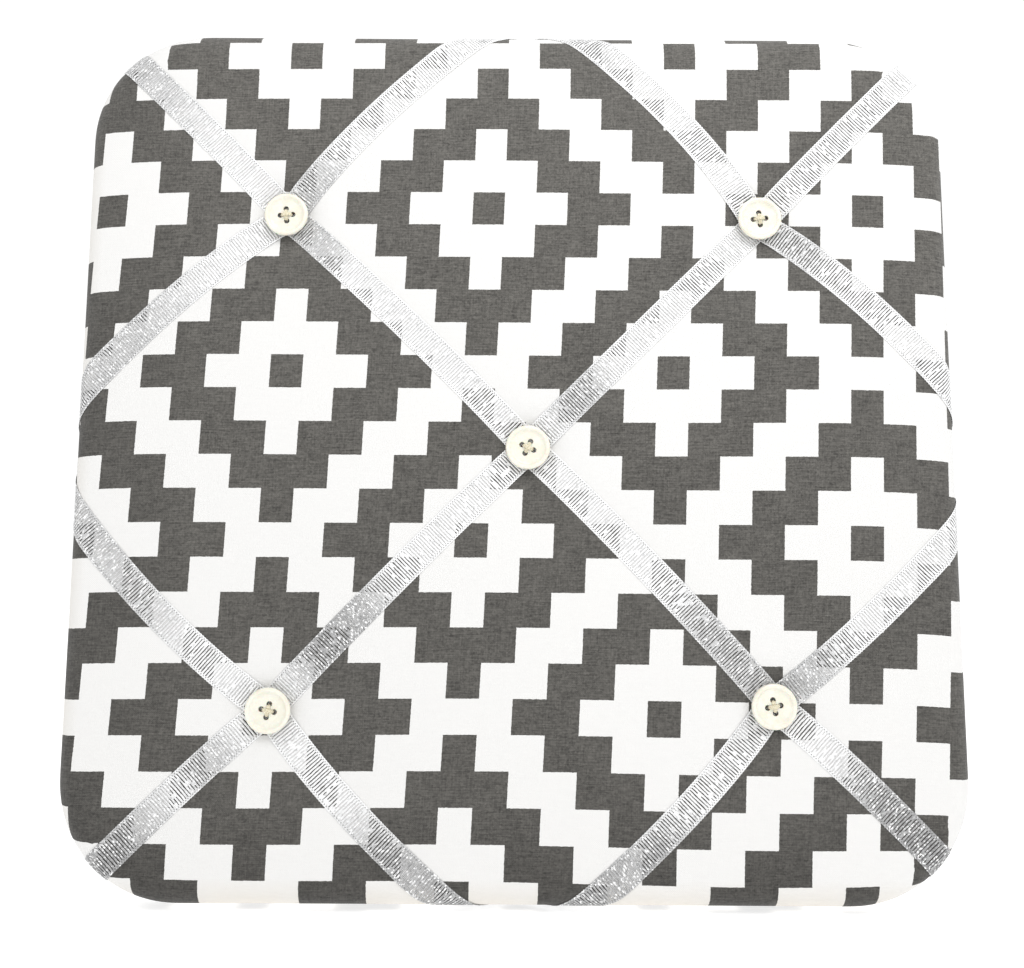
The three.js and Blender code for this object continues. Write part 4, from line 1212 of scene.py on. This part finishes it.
# ------------------------------------------------------------------ ring hangers
def build_hanger(label, side):
    def put(p):
        p = np.asarray(p, float).copy()
        if side < 0:
            p[:, :2] *= -1
        p[:, 0] += side * HANGER_X
        p[:, 1] += HANGER_Z
        return p

    body = f"{label}_ring"
    # strap: a flat tongue whose inner end is rolled round the ring's bar
    path = [(x, -0.625) for x in np.concatenate([np.linspace(25.97, 21.5, 9), np.linspace(20, 0, 12)])]
    path += [(-1.825 * math.sin(f), AXIS_D + 1.825 * math.cos(f)) for f in np.radians(np.linspace(12, 306, 26))]
    cols = np.linspace(-1, 1, 9)
    pts, quads = [], []
    for i, (x, d) in enumerate(path):
        hw = 4.5 if x <= 21.5 else math.sqrt(max(0.01, 4.5 ** 2 - (x - 21.5) ** 2))
        pts += [(x, c * hw, d) for c in cols]
    for i in range(len(path) - 1):
        for k in range(8):
            a = i * 9 + k
            quads.append((a, a + 1, a + 10, a + 9))
    ob = mesh_object(f"hanger_strap_{label}_plate", put(pts), quads)
    m = ob.modifiers.new("thickness", "SOLIDIFY")
    m.thickness, m.offset, m.use_rim = 0.00072, 0.0, True
    bake_modifiers(ob)
    outwards(ob)
    holes = []
    for i, s in enumerate((6.3, 16.2)):
        p, f = lathe([(0, -4), (1.7, -4), (1.7, 2), (0, 2)], 32)
        c = mesh_object("bore_%d" % i, put(np.array(p) + [s, 0, 0]), f)
        outwards(c)
        holes.append(c)
    cut(ob, holes)
    m = ob.modifiers.new("edge", "BEVEL")
    m.width, m.segments, m.limit_method, m.angle_limit = 0.00016, 2, "ANGLE", math.radians(40)
    bake_modifiers(ob)
    ob.data.polygons.foreach_set("use_smooth", [True] * len(ob.data.polygons))
    ob.data.set_sharp_from_angle(angle=math.radians(50))
    finish_piece(ob, "steel", f"hanger_strap_{label}")

    # ring: straight bar in the roll, rounded corners, legs and a half-round bow
    loop = [(0.0, z) for z in np.linspace(-5.4, 5.4, 9)]
    loop += [(-1.6 + 1.6 * math.cos(f), 5.4 + 1.6 * math.sin(f)) for f in np.linspace(0, math.pi / 2, 7)[1:]]
    loop += [(x, 7.0) for x in np.linspace(-1.6, -4, 4)[1:]]
    loop += [(-4 + 7 * math.cos(f), 7 * math.sin(f)) for f in np.linspace(math.pi / 2, 1.5 * math.pi, 33)[1:]]
    loop += [(x, -7.0) for x in np.linspace(-4, -1.6, 4)[1:]]
    loop += [(-1.6 + 1.6 * math.cos(f), -5.4 + 1.6 * math.sin(f)) for f in np.linspace(-math.pi / 2, 0, 7)[1:-1]]
    p, f = tube([(x, z, AXIS_D) for x, z in loop], 1.1, 16, closed=True)
    ring = mesh_object(f"d_ring_{label}_wire", put(p), f)
    outwards(ring)
    finish_piece(ring, "steel", f"d_ring_{label}", body=body)

    for i, s in enumerate((6.3, 16.2)):
        prof = [(0, -2.75), (0.9, -2.73), (1.6, -2.58), (2.15, -2.25), (2.5, -1.8), (2.6, -1.4), (2.55, -1.02), (1.25, -1.02), (1.25, 6.9), (0, 8.7)]
        p, f = lathe(prof, 40)
        sc = mesh_object(f"hanger_screw_{label}_{i + 1}_head", put(np.array(p) + [s, 0, 0]), f)
        outwards(sc)
        slots = []
        a = 0.5 + 1.7 * i + side
        for k in range(2):
            t = a + k * math.pi / 2
            u, w = np.array([math.cos(t), math.sin(t)]), np.array([-math.sin(t), math.cos(t)])
            box = [np.append(s * np.array([1, 0]) + i1 * 1.45 * u + i2 * 0.3 * w, dd) for dd in (-3.5, -1.75) for i1, i2 in ((-1, -1), (1, -1), (1, 1), (-1, 1))]
            c = mesh_object("slot_%d" % k, put(box), [(0, 1, 2, 3), (7, 6, 5, 4), (0, 4, 5, 1), (1, 5, 6, 2), (2, 6, 7, 3), (3, 7, 4, 0)])
            outwards(c)
            slots.append(c)
        cut(sc, slots)
        sc.data.polygons.foreach_set("use_smooth", [True] * len(sc.data.polygons))
        sc.data.set_sharp_from_angle(angle=math.radians(35))
        finish_piece(sc, "steel", f"hanger_screw_{label}_{i + 1}")


build_hanger("left", -1)
build_hanger("right", 1)

# ------------------------------------------------------------------ carried-over construction pieces
for _node, _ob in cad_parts.items():
    _slot = ("board" if _node == "backing_board" else "greyboard" if _node == "infill_card" or _node.startswith("thread_washer")
             else "steel" if _node.startswith("staple") else None)
    if _slot:
        _ob.data.materials.clear()
        _ob.data.materials.append(MAT[_slot])

# ------------------------------------------------------------------ stage and light
floor_me = bpy.data.meshes.new("studio_floor")
floor_me.from_pydata([(-8, -8, -0.1503), (8, -8, -0.1503), (8, 8, -0.1503), (-8, 8, -0.1503)], [], [(0, 1, 2, 3)])
floor = bpy.data.objects.new("studio_floor", floor_me)
scene.collection.objects.link(floor)
floor_me.materials.append(floor_material())

# sky of a white studio: white behind the board, a little softer elsewhere, whitest near the horizon
world = bpy.data.worlds.new("studio")
scene.world = world
world.use_nodes = True
wt = world.node_tree
wt.nodes.clear()
w_out, w_back = wt.nodes.new("ShaderNodeOutputWorld"), wt.nodes.new("ShaderNodeBackground")
w_dir, w_sep = wt.nodes.new("ShaderNodeTexCoord"), wt.nodes.new("ShaderNodeSeparateXYZ")
wt.links.new(w_dir.outputs["Generated"], w_sep.inputs[0])


def sky_range(source, low, high, to_low, to_high):
    n = wt.nodes.new("ShaderNodeMapRange")
    n.interpolation_type = "SMOOTHSTEP"
    wt.links.new(source, n.inputs[0])
    for i, v in enumerate((low, high, to_low, to_high)):
        n.inputs[i + 1].default_value = v
    return n.outputs[0]


def sky_mix(fac, a, b):
    n = wt.nodes.new("ShaderNodeMix")
    n.data_type = "FLOAT"
    wt.links.new(fac, n.inputs[0])
    wt.links.new(a, n.inputs[2])
    n.inputs[3].default_value = b
    return n.outputs[0]


w_side = sky_range(w_sep.outputs["Z"], 0.0, 0.32, 0.98, 0.82)
w_all = sky_mix(sky_range(w_sep.outputs["Y"], -0.1, 0.3, 0.0, 1.0), w_side, 1.08)
w_back.inputs["Color"].default_value = (1.0, 1.0, 1.0, 1.0)
wt.links.new(w_all, w_back.inputs["Strength"])
wt.links.new(w_back.outputs[0], w_out.inputs["Surface"])


def area_light(name, at, aim, size, power, tint=(1, 1, 1)):
    data = bpy.data.lights.new(name, "AREA")
    data.shape, data.size, data.energy, data.color = "DISK", size, power, tint
    ob = bpy.data.objects.new(name, data)
    scene.collection.objects.link(ob)
    ob.location = at
    ob.rotation_mode = "QUATERNION"
    ob.rotation_quaternion = (Vector(aim) - Vector(at)).to_track_quat("-Z", "Y")
    return ob


key = area_light("key", (0.17, -0.42, 0.58), (0.09, -0.02, 0.19), 0.45, 0.62)
key.data.spread = math.radians(83)
scene.view_settings.view_transform = "Standard"
scene.view_settings.look = "None"
scene.view_settings.exposure = 0.0
